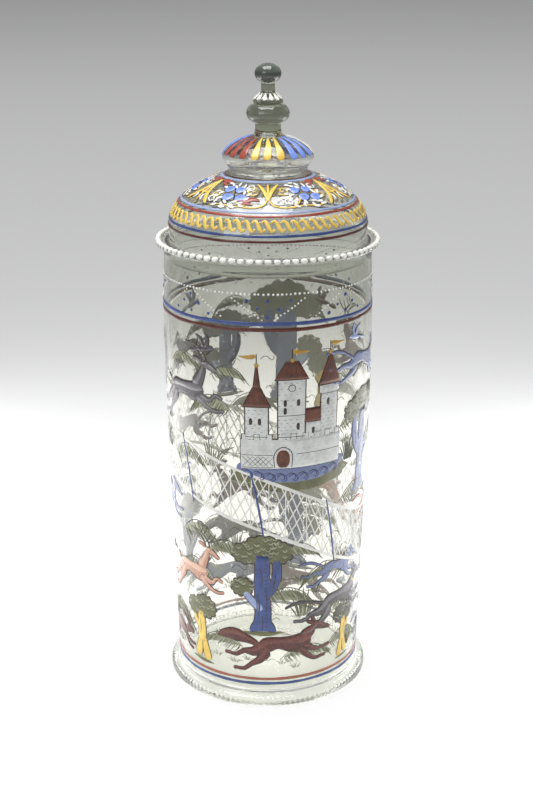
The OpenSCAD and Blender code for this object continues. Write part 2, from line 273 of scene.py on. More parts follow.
def closed_skins(grid, poles):
    """Closed skins from rows of points that wrap round, each end row drawn to its pole.

    grid is (count, rows, columns, 3) and poles (count, 2, 3). Without poles the last row joins the first.
    """
    count, rows, columns = grid.shape[:3]
    size = rows * columns
    i = np.arange(rows if poles is None else rows - 1)[:, None] * columns
    j = np.arange(columns)
    k = (j + 1) % columns
    after = (i + columns) % size
    quads = stacked(i + j, i + k, after + k, after + j).reshape(-1, 4)
    points = grid.reshape(count, size, 3)
    fans = np.zeros((0, 3), dtype=int)
    if poles is not None:
        points = np.concatenate([points, poles], axis=1)
        end = size - columns
        fans = np.concatenate([stacked(size, k, j), stacked(size + 1, end + j, end + k)])
    start = np.arange(count)[:, None, None] * points.shape[1]
    return points.reshape(-1, 3), (quads + start).reshape(-1, 4), (fans + start).reshape(-1, 3)


def spline(keys, share):
    """Catmull-Rom curves through keys (count, keys, values) at shares of the way: a cubic in each gap."""
    first = 2 * keys[:, :1] - keys[:, 1:2]
    last = 2 * keys[:, -1:] - keys[:, -2:-1]
    k = np.concatenate([first, keys, last], axis=1)
    p = share * (keys.shape[1] - 1)
    i = np.minimum(p.astype(int), keys.shape[1] - 2)
    f = (p - i)[None, :, None]
    a, b, c, d = k[:, i], k[:, i + 1], k[:, i + 2], k[:, i + 3]
    return b + f / 2 * (c - a + f * (2 * a - 5 * b + 4 * c - d + f * (3 * (b - c) + d - a)))


def ribbons(path, width, skin, top, sink, square, columns):
    """Low arched strokes of enamel along paths (count, stations, 2) with a width at each station.

    Across a stroke x runs from -1 to 1; its top is sqrt(1 - |x|^n), flatter for wide strokes, and its edges
    and underside lie sunk in the glass. Round ends narrow as a half circle; square ends are cut straight.
    """
    ahead = np.gradient(path, axis=1)
    ahead = ahead / (np.linalg.norm(ahead, axis=2, keepdims=True) + 1e-9)
    right = ahead[..., ::-1] * np.array([1.0, -1.0])
    if not square:
        run = np.linalg.norm(np.diff(path, axis=1), axis=2)
        run = np.concatenate([np.zeros((len(run), 1)), np.cumsum(run, axis=1)], axis=1)
        left = np.minimum(run, run[:, -1:] - run) / (width / 2 + 1e-9)
        width = width * np.sqrt(1 - (1 - np.clip(left, 0, 1)) ** 2)
    columns = columns or max(5, int(width.max() / 2.4) + 3)
    x = np.sin(np.linspace(-np.pi / 2, np.pi / 2, columns))
    x = np.sign(x) * np.abs(x) ** (0.6 if columns < 7 else 1.0)
    arch = (top + sink) * np.sqrt(np.clip(1 - np.abs(x) ** (5.0 + 2.0 * width.max()), 0, 1)) - sink
    under = x[-2:0:-1] if columns > 5 else x[:0]
    x = np.concatenate([x, under])
    arch = np.concatenate([arch, 0 * under - sink])
    flat = path[:, :, None] + right[:, :, None] * (width[:, :, None, None] / 2 * x[:, None])
    grid = skin(flat[..., 0], flat[..., 1], np.broadcast_to(arch, flat.shape[:3]))
    tips = path[:, [0, -1]]
    tip_h = np.full(tips.shape[:2], (top - sink) / 2 if square else -sink)
    return closed_skins(grid if square else grid[:, 1:-1], skin(tips[..., 0], tips[..., 1], tip_h))


def stroked(keys, skin, top, sink=SUNK, square=False, n=9, columns=0):
    """Brush strokes through keys (count, keys, 3) of s, t and width, with stations closer to round ends."""
    keys = np.asarray(keys, dtype=float)
    length = np.linalg.norm(np.diff(keys[..., :2], axis=1), axis=2).sum(axis=1).max()
    if square:
        share = np.linspace(0, 1, int(length / 3.0) + 2 * keys.shape[1])
    else:
        share = (1 - np.cos(np.linspace(0, np.pi, max(n, int(length / 2.4) + 4)))) / 2
    curve = spline(keys, share)
    width = np.maximum(curve[..., 2], 0.02)
    return ribbons(curve[..., :2], width, skin, top, sink, square, columns)


def keyed(*stations):
    """Keys of many strokes at once: the s, t and width of each station, as arrays or single numbers."""
    return np.stack([stacked(*each) for each in stations], axis=1)


def widened(paths, width):
    """Keys of strokes: paths (count, keys, 2) with one width, or a width for each key, as third value."""
    width = np.broadcast_to(np.asarray(width, dtype=float), paths.shape[:-1])
    return np.concatenate([paths, width[..., None]], axis=-1)


def repeated(keys, places):
    """Keys of one stroke set again and again, each time further along by a place."""
    return np.asarray(keys) + np.asarray(places)[:, None, None] * np.array([1.0, 0, 0])


def ribbon_round(path, width, skin, top):
    """A ribbon that goes once round the vessel: its last station joins the first a full turn on.

    Across it x runs from -1 to 1, and its top is sqrt(1 - |x|^9).
    """
    lap = TAU * skin.ref
    ahead = np.roll(path, -1, axis=0) - np.roll(path, 1, axis=0)
    ahead[:, 0] = (ahead[:, 0] + lap / 2) % lap - lap / 2
    ahead = ahead / np.linalg.norm(ahead, axis=1, keepdims=True)
    right = ahead[:, ::-1] * np.array([1.0, -1.0])
    x = np.array([-1, -0.95, -0.7, 0, 0.7, 0.95, 1])
    arch = (top + SUNK) * np.sqrt(1 - np.abs(x) ** 9) - SUNK
    x = np.concatenate([x, [0.0]])
    arch = np.concatenate([arch, [-SUNK]])
    flat = path[:, None] + right[:, None] * (width[:, None, None] / 2 * x[:, None])
    grid = skin(flat[..., 0], flat[..., 1], np.broadcast_to(arch, flat.shape[:2]))
    return closed_skins(grid[None], None)


def blobs(centre, radii, skin, top, sink, dome, columns=0, turn=0.0, lobes=0, depth=0.0):
    """Pools of enamel about centres (count, 2): ellipses whose edge swells and pinches as |cos| of the angle.

    Over the radius x the top is sqrt(1 - x^dome); the underside is flat and sunk in the glass.
    """
    centre = np.atleast_2d(centre).astype(float)
    radii = np.broadcast_to(np.atleast_2d(radii).astype(float), centre.shape)
    turn = np.broadcast_to(np.asarray(turn, dtype=float), centre.shape[:1])
    reach = radii.max()
    columns = columns or max(12, 6 * lobes, int(reach * 2.2))
    rings = max(2, int(reach / 2.2) + 1)
    f = np.arange(columns) * TAU / columns
    edge = 1 - depth + depth * np.abs(np.cos(lobes * f / 2)) if lobes else np.ones(columns)
    over = np.sin(np.linspace(0, np.pi / 2, rings + 1)[1:])
    share = np.concatenate([over, over[-2::-1]])
    high = np.concatenate([0 * over - sink, (top + sink) * np.sqrt(1 - over[-2::-1] ** dome) - sink])
    local = radii[:, None, :] * stacked(edge * np.cos(f), edge * np.sin(f))
    c, s = np.cos(turn)[:, None], np.sin(turn)[:, None]
    local = stacked(c * local[..., 0] - s * local[..., 1], s * local[..., 0] + c * local[..., 1])
    flat = centre[:, None, None, :] + share[:, None, None] * local[:, None, :, :]
    grid = skin(flat[..., 0], flat[..., 1], np.broadcast_to(high[:, None], flat.shape[:3]))
    mid = np.repeat(centre[:, None, :], 2, axis=1)
    poles = skin(mid[..., 0], mid[..., 1], np.broadcast_to([-sink, top], mid.shape[:2]))
    return closed_skins(grid, poles)


# Objects of the scene, and pots that hold what becomes one piece

def linked(name, data):
    """A new object of the scene for a mesh, lamp or camera."""
    made = bpy.data.objects.new(name, data)
    scene.collection.objects.link(made)
    return made


class Pot:
    """One colour of enamel, or one piece of glass: gathers closed skins and sets them as one piece."""

    def __init__(self, name, material, body, slot, *nodes):
        self.name = name
        self.material = material
        self.body = body
        self.slot = slot
        self.nodes = nodes
        self.points = []
        self.quads = []
        self.fans = []
        self.size = 0

    def take(self, skins):
        """Adds closed skins to those taken so far."""
        points, quads, fans = skins
        self.points.append(points)
        self.quads.append(quads + self.size)
        self.fans.append(fans + self.size)
        self.size += len(points)

    def set_hard(self):
        """Makes one mesh of the skins, and hands its object to the frame."""
        points = joined(*self.points) * MM
        quads = joined(*self.quads)
        fans = joined(*self.fans)
        corners = joined(quads.ravel(), fans.ravel())
        sizes = joined(np.full(len(quads), 4), np.full(len(fans), 3))
        mesh = bpy.data.meshes.new(self.name)
        mesh.vertices.add(len(points))
        mesh.vertices.foreach_set("co", points.ravel())
        mesh.loops.add(len(corners))
        mesh.loops.foreach_set("vertex_index", corners)
        mesh.polygons.add(len(sizes))
        mesh.polygons.foreach_set("loop_start", np.cumsum(sizes) - sizes)
        mesh.polygons.foreach_set("use_smooth", np.ones(len(sizes), dtype=bool))
        mesh.update(calc_edges=True)
        mesh.materials.append(self.material)
        piece = linked(self.name, mesh)
        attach(piece, self.body)
        if self.nodes:
            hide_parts(*self.nodes)


pots = []


def pot_of(name, material, body, slot, *nodes):
    """A new pot. The pieces are set in the order in which their pots are made."""
    pots.append(Pot(name, material, body, slot, *nodes))
    return pots[-1]


# Outlines of the glass, as the frame has them

HEEL_Z = 10.0
HEEL_R = 65.0
SHOULDER_Z = 225.0
SHOULDER_R = 71.4
RIM_Z = 318.0
RIM_R = 70.6
RIM_ROUND = 0.7
MOUTH_R = 68.2
WALL = 2.4
BASE_Z = 3.0
BASE_T = 4.0
BASE_TURN_R = 58.0
KICK_R = 48.5
KICK_H = 13.0
FOOT_R = 71.4
FOOT_IN_R = 61.6
FOOT_SEAT_R = 65.6
FOOT_Z = 7.9
NOTCHES = 120
NOTCH_DEPTH = 0.9
CALM_LOW_Z = 12
CALM_HIGH_Z = 312
CALM_RUN = 30
LID_R = 67.5
LID_WALL = 2.2
COLLAR_Z = 311.0
FLANGE_Z = 320.4
TRAIL_R = 74.9
TRAIL_ROUND = 1.3
SPRING_Z = 331.0
DOME_H = 37.5
DOME_POWER = 1.95
CROWN_R = 13.9
BULB_FOOT_R = 28.2
BULB_WAIST_R = 26.4
BULB_R = 30.7
BULB_WALL = 2.0
BULB_POWER = 1.6
BULB_TOP_R = 10.0
NECK_R = 8.5
KNOP_R = 14.4
SKIRT_R = 10.0
CRIMPS = 12
CRIMP_DEPTH = 0.75
STEM_R = 4.6
BALL_R = 8.9
BALL_H = 13.4

# Radius at which the s of each skin is measured

WALL_REF = 70.0
DOME_REF = 50.0
BULB_REF = 25.0
SKIRT_REF = 7.0


def height(node, end):
    """Height in millimetres of the lowest (0) or highest (1) point of a node of the frame."""
    return float(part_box(node)[end][2]) / MM


BULB_TOP = height("finial_knop", 0)
KNOP_TOP = height("finial_skirt", 0)
SKIRT_TOP = height("finial_ball", 0)
TOP = height("finial_ball", 1)
EQUATOR_Z = BULB_TOP - 12.7
WAIST_Z = EQUATOR_Z - 9.4
NECK_TOP = KNOP_TOP - 12.2
SKIRT_EDGE = SKIRT_TOP - 6.6
STEM_TOP = TOP - BALL_H


def wall_r(z):
    """Radius of the wall: a cone from the heel to the shoulder, then a quadratic curve in to the rim."""
    slope = (SHOULDER_R - HEEL_R) / (SHOULDER_Z - HEEL_Z)
    rise = RIM_Z - RIM_ROUND - SHOULDER_Z
    share = np.clip((z - SHOULDER_Z) / rise, 0, 1)
    bend = SHOULDER_R + slope * rise / 2
    upper = (1 - share) ** 2 * SHOULDER_R + 2 * share * (1 - share) * bend + share ** 2 * RIM_R
    return np.where(z < SHOULDER_Z, HEEL_R + slope * (z - HEEL_Z), upper)


def wall_swell(a, z):
    """Uneven blowing: two slow waves that go round and up the wall, and fade out at foot and rim."""
    fade = np.clip((z - CALM_LOW_Z) / CALM_RUN, 0, 1) * np.clip((CALM_HIGH_Z - z) / CALM_RUN, 0, 1)
    return fade * (0.16 * np.sin(3 * a + 0.021 * z) + 0.09 * np.sin(5 * a - 0.034 * z + 1.3))


def arc(r, z, radius, start, stop, n):
    """Points (r, z) of a round about a centre, from one angle to another in degrees."""
    a = np.radians(np.linspace(start, stop, n))
    return stacked(r + radius * np.cos(a), z + radius * np.sin(a))


def superellipse(r0, r1, z, h, power, n):
    """Quarter of a superellipse from the radius r0, upright, to r1, level, h higher."""
    a = np.linspace(0, np.pi / 2, n)
    c, s = np.cos(a).clip(0), np.sin(a).clip(0)
    return stacked(r1 + (r0 - r1) * c ** (2 / power), z + h * s ** (2 / power))


def swelling(r0, r1, z, h, n):
    """Outline from the radius r0 to r1 as half a cosine, upright at both ends."""
    s = np.linspace(0, 1, n)
    return stacked(r0 + (r1 - r0) * (1 - np.cos(np.pi * s)) / 2, z + h * s)


def hollow(r0, r1, z, h, n):
    """Outline that leaves the radius r0 level and ends upright at r1, as a quarter of an ellipse."""
    a = np.linspace(0, np.pi / 2, n)
    return stacked(r0 + (r1 - r0) * np.sin(a), z + h * (1 - np.cos(a)))


def bulging(r0, r1, z, h, n):
    """Outline that bulges from the radius r0 to r1 and back, as half an ellipse."""
    a = np.linspace(-np.pi / 2, np.pi / 2, n)
    return stacked(r0 + (r1 - r0) * np.cos(a), z + h * (1 + np.sin(a)) / 2)


def dome_z(r):
    """Height of the dome's superellipse at a radius."""
    return SPRING_Z + DOME_H * (1 - (r / LID_R) ** DOME_POWER) ** (1 / DOME_POWER)


def line(*points, n=2):
    """Points on straight lines through the points given, n to each line."""
    p = np.array(points, dtype=float)
    share = np.linspace(0, 1, n)[:, None]
    return np.concatenate([p[i] + (p[i + 1] - p[i]) * share for i in range(len(p) - 1)])


def unrepeated(outline):
    """An outline without points that repeat the one before."""
    gap = np.linalg.norm(np.diff(outline, axis=0), axis=1)
    return outline[np.concatenate([[True], gap > 0.02])]


LIP_Z = RIM_Z - RIM_ROUND
wall_z = np.linspace(HEEL_Z, LIP_Z, 200)
wall_skin = Skin(wall_r(wall_z), wall_z, WALL_REF, wall_z, wall_swell)
lid_out = unrepeated(joined(line((LID_R, FLANGE_Z), (LID_R, SPRING_Z), n=8),
                            superellipse(LID_R, 0.01, SPRING_Z, DOME_H, DOME_POWER, 120)))
lid_skin = Skin(*lid_out.T, DOME_REF)
bulb_out = superellipse(BULB_R, BULB_TOP_R, EQUATOR_Z, BULB_TOP - EQUATOR_Z, BULB_POWER, 60)
bulb_skin = Skin(*bulb_out.T, BULB_REF)
skirt_out = swelling(SKIRT_R, STEM_R, SKIRT_EDGE, SKIRT_TOP - SKIRT_EDGE, 30)
skirt_skin = Skin(*skirt_out.T, SKIRT_REF)


def turned_glass(outline, segments, shape):
    """A closed piece turned about the axis: an outline carried round a circle, its first and last points on
    the axis as poles, with shape(a, r, z) added to the radius."""
    a = np.arange(segments) * TAU / segments
    r = outline[1:-1, :1]
    z = outline[1:-1, 1:]
    grid = round_axis(r + shape(a, r, z), a, z)
    poles = np.array([[0, 0, outline[0, 1]], [0, 0, outline[-1, 1]]])
    return closed_skins(grid[None], poles[None])


def beaker_outline():
    """Outline of the beaker: from under the kick round the foot, up the wall, over the rim and inside."""
    s = np.linspace(0, 1, 14)
    kick = stacked(KICK_R * s, BASE_Z + KICK_H * (1 + np.cos(np.pi * s)) / 2)
    foot = joined(line((53, BASE_Z), (BASE_TURN_R, BASE_Z)),
                  arc(BASE_TURN_R, HEEL_Z, HEEL_Z - BASE_Z, -82, -62, 4),
                  hollow(FOOT_SEAT_R, FOOT_IN_R, 0, 4, 9)[-2::-1], arc(FOOT_R - 2, 2, 2, -90, 0, 6),
                  line((FOOT_R, 2.6), (FOOT_R, 4.6), n=3), arc(FOOT_R - 1.8, 4.6, 1.8, 0, 62, 5),
                  line((69.2, FOOT_Z - 1), (66.6, FOOT_Z)))
    outer_z = joined([8.6, 9.3], np.linspace(HEEL_Z + 0.2, LIP_Z, 38))
    outer = stacked(np.where(outer_z < HEEL_Z, HEEL_R - 0.05, wall_r(outer_z)), outer_z)
    rim = joined(arc(RIM_R - RIM_ROUND, LIP_Z, RIM_ROUND, 15, 90, 4),
                 arc(MOUTH_R + RIM_ROUND, LIP_Z, RIM_ROUND, 90, 165, 4))
    inner_z = np.linspace(LIP_Z, CALM_LOW_Z, 32)
    inner = stacked(wall_r(inner_z) - WALL, inner_z)
    floor_z = BASE_Z + BASE_T
    heel = arc(BASE_TURN_R, floor_z + 4.6, 4.6, -8, -90, 7)
    bottom = joined(line((55, floor_z), (50, floor_z)), kick[::-1] + np.array([0, BASE_T]))
    return unrepeated(joined(kick, foot, outer, rim, inner, heel, bottom))


def beaker_shape(a, r, z):
    """Unevenness of the beaker: slow waves in both walls, and milled notches in the edge of the foot."""
    inside = r < wall_r(z) - WALL / 2
    wave = wall_swell(a, z) - np.where(inside, 0.8 * wall_swell(a + 0.6, z), 0)
    notch = 0.5 * (1 - np.cos(NOTCHES * a)) * np.clip((r - 69.0) / 2, 0, 1) * np.clip((7.2 - z) / 2, 0, 1)
    return np.where(z > CALM_LOW_Z, wave, 0) - NOTCH_DEPTH * notch


def lid_outline():
    """Outline of the lid from the top of the bulb's hollow, down inside, round the collar and flange, and up
    over the dome, bulb, neck, knop, skirt, stem and ball."""
    rise = EQUATOR_Z - WAIST_Z
    cap = superellipse(BULB_R - BULB_WALL, 0, EQUATOR_Z, BULB_TOP - EQUATOR_Z - 3.5, BULB_POWER, 20)[::-1]
    cup = swelling(BULB_WAIST_R - BULB_WALL, BULB_R - BULB_WALL, WAIST_Z, rise, 12)[::-1]
    shelf_r = np.linspace(BULB_WAIST_R - 2.6, CROWN_R - 0.3, 6)
    shelf = stacked(shelf_r, dome_z(shelf_r))
    lip = arc(CROWN_R, dome_z(CROWN_R) - 1.1, 1.0, 110, 250, 6)
    inner_r = LID_R - LID_WALL
    inside = superellipse(inner_r, 0.01, SPRING_Z, DOME_H - LID_WALL, DOME_POWER, 60)[::-1]
    inside = inside[inside[:, 0] > CROWN_R + 0.5]
    collar = joined(line((inner_r, SPRING_Z - 1), (inner_r, COLLAR_Z)),
                    arc(LID_R - LID_WALL / 2, COLLAR_Z - 1.8, LID_WALL / 2, 180, 360, 8),
                    line((LID_R, COLLAR_Z), (LID_R, RIM_Z - 0.4)))
    flange = joined(line((LID_R + 0.4, RIM_Z), (TRAIL_R - 2.3, RIM_Z), (TRAIL_R - 0.3, RIM_Z)),
                    arc(TRAIL_R, RIM_Z + TRAIL_ROUND, TRAIL_ROUND, -80, 0, 5),
                    arc(TRAIL_R, RIM_Z + 1.7, TRAIL_ROUND, 0, 100, 6),
                    arc(TRAIL_R - 1.5, FLANGE_Z + 0.5, 0.5, 60, 200, 3),
                    line((TRAIL_R - 2.3, FLANGE_Z), (LID_R + 0.9, FLANGE_Z)),
                    arc(LID_R + 0.7, FLANGE_Z + 0.7, 0.7, 270, 180, 4))
    outside = superellipse(LID_R, 0.01, SPRING_Z, DOME_H, DOME_POWER, 90)
    outside = outside[outside[:, 0] > BULB_FOOT_R + 0.3]
    foot = hollow(BULB_FOOT_R, BULB_WAIST_R, 0, 2.2, 8)
    foot[:, 1] += dome_z(foot[:, 0])
    bulb = joined(foot, swelling(BULB_WAIST_R, BULB_R, WAIST_Z, rise, 14), bulb_out[::2])
    neck = hollow(BULB_TOP_R, NECK_R, BULB_TOP, NECK_TOP - BULB_TOP, 12)
    knop = bulging(NECK_R, KNOP_R, NECK_TOP, KNOP_TOP - NECK_TOP, 26)
    skirt = joined(line((8.6, KNOP_TOP + 0.1), (9.2, KNOP_TOP + 0.2)),
                   arc(8.8, KNOP_TOP + 1.2, 1.2, -60, 30, 6), skirt_out[::2])
    stem = line((STEM_R, SKIRT_TOP + 0.6), (STEM_R, STEM_TOP), n=4)
    ball = bulging(0, BALL_R, STEM_TOP, BALL_H, 40)
    ball = ball[(ball[:, 0] > STEM_R) | (ball[:, 1] > STEM_TOP + BALL_H / 2)]
    return unrepeated(joined(cap, cup, shelf, lip, inside, collar, flange, outside, bulb, neck, knop,
                             skirt, stem, ball))


def lid_shape(a, r, z):
    """Unevenness of the lid: slow waves in the dome, and crimps in the edge of the skirt."""
    dome = np.clip((z - 322) / 8, 0, 1) * np.clip((366 - z) / 8, 0, 1)
    wave = dome * (0.12 * np.sin(2 * a + 0.4) + 0.07 * np.sin(5 * a + 0.05 * z))
    crimp = 0.5 * (1 - np.cos(CRIMPS * a)) * np.clip((r - 6.5) / 3, 0, 1)
    crimp = crimp * np.clip((z - KNOP_TOP + 0.2) / 0.5, 0, 1) * np.clip((SKIRT_TOP - z) / 3, 0, 1)
    return wave - CRIMP_DEPTH * crimp


clear_glass = blown_glass("clear_glass", [(0, 0, (0.83, 0.845, 0.775, 1)), (7, 10, (1.0, 0.995, 0.95, 1)),
                                          (205, RIM_Z, (0.73, 0.745, 0.685, 1))], 0.25, 8.0)
lid_glass = blown_glass("thick_glass", [(0, 0, (0.935, 0.945, 0.91, 1)),
                                        (BULB_TOP - 3, BULB_TOP + 1, (0.35, 0.375, 0.27, 1)),
                                        (NECK_TOP - 1, NECK_TOP + 2, (0.43, 0.455, 0.335, 1)),
                                        (KNOP_TOP - 0.8, KNOP_TOP + 0.2, (0.2, 0.22, 0.17, 1)),
                                        (SKIRT_TOP - 1, SKIRT_TOP + 1, (0.38, 0.40, 0.31, 1)),
                                        (STEM_TOP, STEM_TOP + 2.5, (0.185, 0.21, 0.18, 1))], 0.2, 0.0)
pot_of("beaker_glass", clear_glass, "beaker", "clear_glass", "beaker_body", "foot_ring").take(
    turned_glass(beaker_outline(), 600, beaker_shape))
pot_of("lid_glass", lid_glass, "lid", "thick_glass", "lid_dome", "flange_trail", "finial_bulb", "finial_knop",
       "finial_skirt", "finial_ball").take(turned_glass(lid_outline(), 288, lid_shape))

# Paints: the slot that each belongs to, its body colour and its shade, then what differs from other enamel

PAINTS = {
    "white": ("white", (240, 239, 233), (214, 214, 208)),
    # The dots' grey back colour is painted shade: their undersides, seen from inside, lie in shadow
    "dot": ("white", (240, 239, 233), (214, 214, 208), FIRED, 1.0, (140, 143, 136), 0.85),
    "wall": ("white", (212, 215, 212), (186, 189, 187)),
    "net": ("white", (226, 225, 219), (204, 204, 198), PAINTED),
    "blue": ("blue", (66, 84, 138), (49, 63, 112)),
    "petal_blue": ("blue", (128, 154, 228), (104, 130, 212)),
    "pale": ("pale_blue", (156, 170, 204), (130, 146, 188)),
    "steel": ("pale_blue", (116, 128, 164), (92, 104, 140), PAINTED),
    "brown": ("brown", (92, 46, 38), (70, 35, 30)),
    "clay": ("brown", (160, 98, 80), (132, 76, 62)),
    "roof": ("brown", (106, 58, 38), (52, 28, 21), PAINTED, 1.6),
    "umber": ("brown", (58, 41, 36), (40, 30, 27), PAINTED),
    "slate": ("brown", (86, 82, 86), (62, 59, 64), PAINTED),
    "ash": ("brown", (124, 121, 124), (98, 95, 100), PAINTED),
    "red": ("red", (158, 78, 64), (130, 58, 48)),
    "maroon": ("red", (94, 50, 45), (72, 39, 37), PAINTED),
    "fox": ("red", (118, 68, 58), (96, 55, 48), PAINTED),
    "salmon": ("red", (192, 144, 122), (164, 116, 96), PAINTED),
    "fawn": ("red", (212, 172, 148), (190, 148, 124), PAINTED),
    "yellow": ("yellow", (230, 198, 98), (212, 172, 70)),
    "ochre": ("yellow", (182, 146, 64), (150, 116, 46)),
    "olive": ("yellow", (108, 109, 76), (78, 81, 54), PAINTED),
    "moss": ("yellow", (82, 85, 62), (60, 63, 45), PAINTED),
    "sage": ("yellow", (160, 163, 138), (130, 133, 108), PAINTED),
}
paint = {name: enamel(name + "_enamel", *coat) for name, (slot, *coat) in PAINTS.items()}


def painted(name, colour, body, *nodes):
    """A new pot of a paint, which keeps the name of the slot that the paint belongs to."""
    return pot_of(name, paint[colour], body, PAINTS[colour][0] + "_enamel", *nodes)


# Bands, dots and pearls that the frame has as nodes

def hoop(skin, t, width, uneven):
    """A painted hoop: a closed path round the skin whose height and width wander as sums of sines."""
    a = np.arange(360) * TAU / 360
    k = chance.uniform(0, TAU, 6)
    drift = np.sin(a + k[0]) + 0.6 * np.sin(3 * a + k[1]) + 0.35 * np.sin(11 * a + k[2])
    pulse = np.sin(5 * a + k[3]) + 0.8 * np.sin(17 * a + k[4]) + 0.6 * np.sin(41 * a + k[5])
    path = stacked(a * skin.ref, t + uneven * 0.5 * drift)
    return ribbon_round(path, width * (1 + 0.07 * pulse), skin, 0.26)


# Piece, node, paint, skin, height, width and unevenness of each hoop

HOOPS = (
    ("lower_blue_hoop", "lower_blue_band", "blue", wall_skin, 15.3, 2.2, 0.3),
    ("lower_brown_hoop", "lower_brown_band", "clay", wall_skin, 19.0, 2.2, 0.3),
    ("upper_brown_hoop", "upper_brown_band", "brown", wall_skin, 275.1, 2.6, 0.5),
    ("upper_blue_hoop", "upper_blue_band", "blue", wall_skin, 278.9, 2.6, 0.5),
    ("lid_lower_brown_hoop", "lid_lower_brown_band", "brown", lid_skin, 331.8, 1.7, 0.4),
    ("lid_lower_blue_hoop", "lid_lower_blue_band", "blue", lid_skin, 335.5, 1.8, 0.4),
    ("lid_upper_red_hoop", "lid_upper_brown_band", "red", lid_skin, 347.1, 1.8, 0.4),
    ("lid_upper_blue_hoop", "lid_upper_blue_band", "pale", lid_skin, 349.2, 1.8, 0.4),
    ("crown_brown_hoop", "crown_brown_line", "brown", lid_skin, dome_z(BULB_FOOT_R + 0.6), 1.1, 0.2),
    ("crown_blue_hoop", "crown_blue_band", "pale", lid_skin, dome_z(BULB_FOOT_R + 2.9), 2.6, 0.3),
)
for name, node, colour, skin, z, width, uneven in HOOPS:
    pot = painted(name, colour, "beaker" if skin is wall_skin else "lid", node)
    pot.take(hoop(skin, skin.up_to(z), width, uneven))

RIM_DOTS = 150
RIM_DOT_Z = 298.7
PEARLS = 80
PEARL_RING_R = 74.75
PEARL_Z = 320.6
PEARL_TALL = 1.75
PEARL_POWER = 0.88
LINKS = 64
LINK_Z = 338.0
LINK_TOP_Z = 344.9
PETAL_TINTS = ("yellow", "blue", "white", "red", "yellow", "blue", "red")
PETAL_GROUP = 3


def rim_dot_row():
    """Small domed dots below the rim, by chance a little uneven in place and size."""
    s = (np.arange(RIM_DOTS) + chance.uniform(-0.12, 0.12, RIM_DOTS)) * TAU * WALL_REF / RIM_DOTS
    t = RIM_DOT_Z + chance.uniform(-0.15, 0.15, RIM_DOTS)
    return blobs(stacked(s, t), chance.uniform(0.72, 0.98, (RIM_DOTS, 1)), wall_skin, 0.34, 0.05, 2.0, 8)


def fuller(wave):
    """A sine or cosine that keeps its sign and takes a power below 1, which makes a ball a little boxy."""
    return np.sign(wave) * np.abs(wave) ** PEARL_POWER


def pearl_ring():
    """Oval pearls on the flange's trail: squashed balls with fuller sines, set round a circle."""
    u = np.arange(14) * TAU / 14
    v = np.linspace(-np.pi / 2, np.pi / 2, 9)[1:-1]
    long = chance.uniform(2.25, 2.55, (PEARLS, 1, 1))
    wide = chance.uniform(1.7, 1.9, (PEARLS, 1, 1))
    belt = fuller(np.cos(v))[:, None]
    m = np.arange(PEARLS) * TAU / PEARLS
    a = m[:, None, None] + long * belt * fuller(np.sin(u)) / PEARL_RING_R
    r = PEARL_RING_R + wide * belt * fuller(np.cos(u))
    grid = round_axis(r, a, PEARL_Z + PEARL_TALL * np.sin(v)[:, None])
    poles = round_axis(PEARL_RING_R, m[:, None], PEARL_Z + PEARL_TALL * np.array([-1, 1]))
    return closed_skins(grid, poles)


def link_row():
    """Strokes like a lying S round the lid's shoulder, each through seven keys in shares of its place."""
    pitch = TAU * DOME_REF / LINKS
    low = lid_skin.up_to(LINK_Z)
    keys = np.array([[-0.66, 0.70, 1.1], [-0.50, 0.95, 1.7], [-0.20, 0.92, 2.1], [0.02, 0.5, 2.3],
                     [0.26, 0.08, 2.1], [0.54, 0.05, 1.7], [0.70, 0.30, 1.1]])
    keys = keys * np.array([pitch * 0.98, lid_skin.up_to(LINK_TOP_Z) - low, 1]) + np.array([0, low, 0])
    keys = repeated(keys, np.arange(LINKS) * pitch)
    keys = keys + chance.normal(0, 1, keys.shape) * np.array([0.10, 0.12, 0.10])
    return stroked(keys, lid_skin, 0.3)


def petals(tint):
    """Petals of one colour, three to a group: strokes up the bulb from its widest part to its top."""
    petal = [[0, 0.8, 4.0], [0, 3.4, 4.5], [0, 8.0, 4.3], [0, 14.0, 3.7], [0, bulb_skin.t[-1] - 1.0, 2.6]]
    turn = TAU * BULB_REF / (PETAL_GROUP * len(PETAL_TINTS))
    groups = [g for g in range(len(PETAL_TINTS)) if PETAL_TINTS[g] == tint]
    where = np.array([PETAL_GROUP * g + i for g in groups for i in (-1, 0, 1)])
    keys = repeated(petal, where * turn)
    keys = keys + chance.normal(0, 1, keys.shape) * np.array([0.18, 0.35, 0.2])
    return stroked(keys, bulb_skin, 0.3, n=19, columns=11)


def skirt_drops():
    """Drops that run up the skirt, one in each of its crimps."""
    drop = [[0, 0.9, 1.6], [0, 2.6, 2.7], [0, 4.8, 2.3], [0, 7.2, 1.0]]
    places = (np.arange(CRIMPS) + 0.5) * (TAU * SKIRT_REF / CRIMPS)
    return stroked(repeated(drop, places), skirt_skin, 0.3, n=11)


painted("rim_dot_row", "dot", "beaker", "rim_dots").take(rim_dot_row())
painted("flange_pearl_ring", "white", "lid", "flange_pearls").take(pearl_ring())
painted("lid_link_row", "yellow", "lid", "lid_links").take(link_row())
for tint in ("yellow", "blue", "white", "red"):
    colour = "petal_blue" if tint == "blue" else tint
    painted("petals_" + tint, colour, "lid", "bulb_petals_" + tint).take(petals(tint))
painted("skirt_drops", "white", "lid", "skirt_petals").take(skirt_drops())


# Painted ornament of the rim and the lid

TRIANGLES = 8
TRIANGLE_Z = 288.8
LEG_DOTS = 10
LEG_DOT_R = 0.66
GRAPE_STEP = 5.2
LAPS = 3
SCROLL_Z = 350.6
SCROLL_SPAN = 27


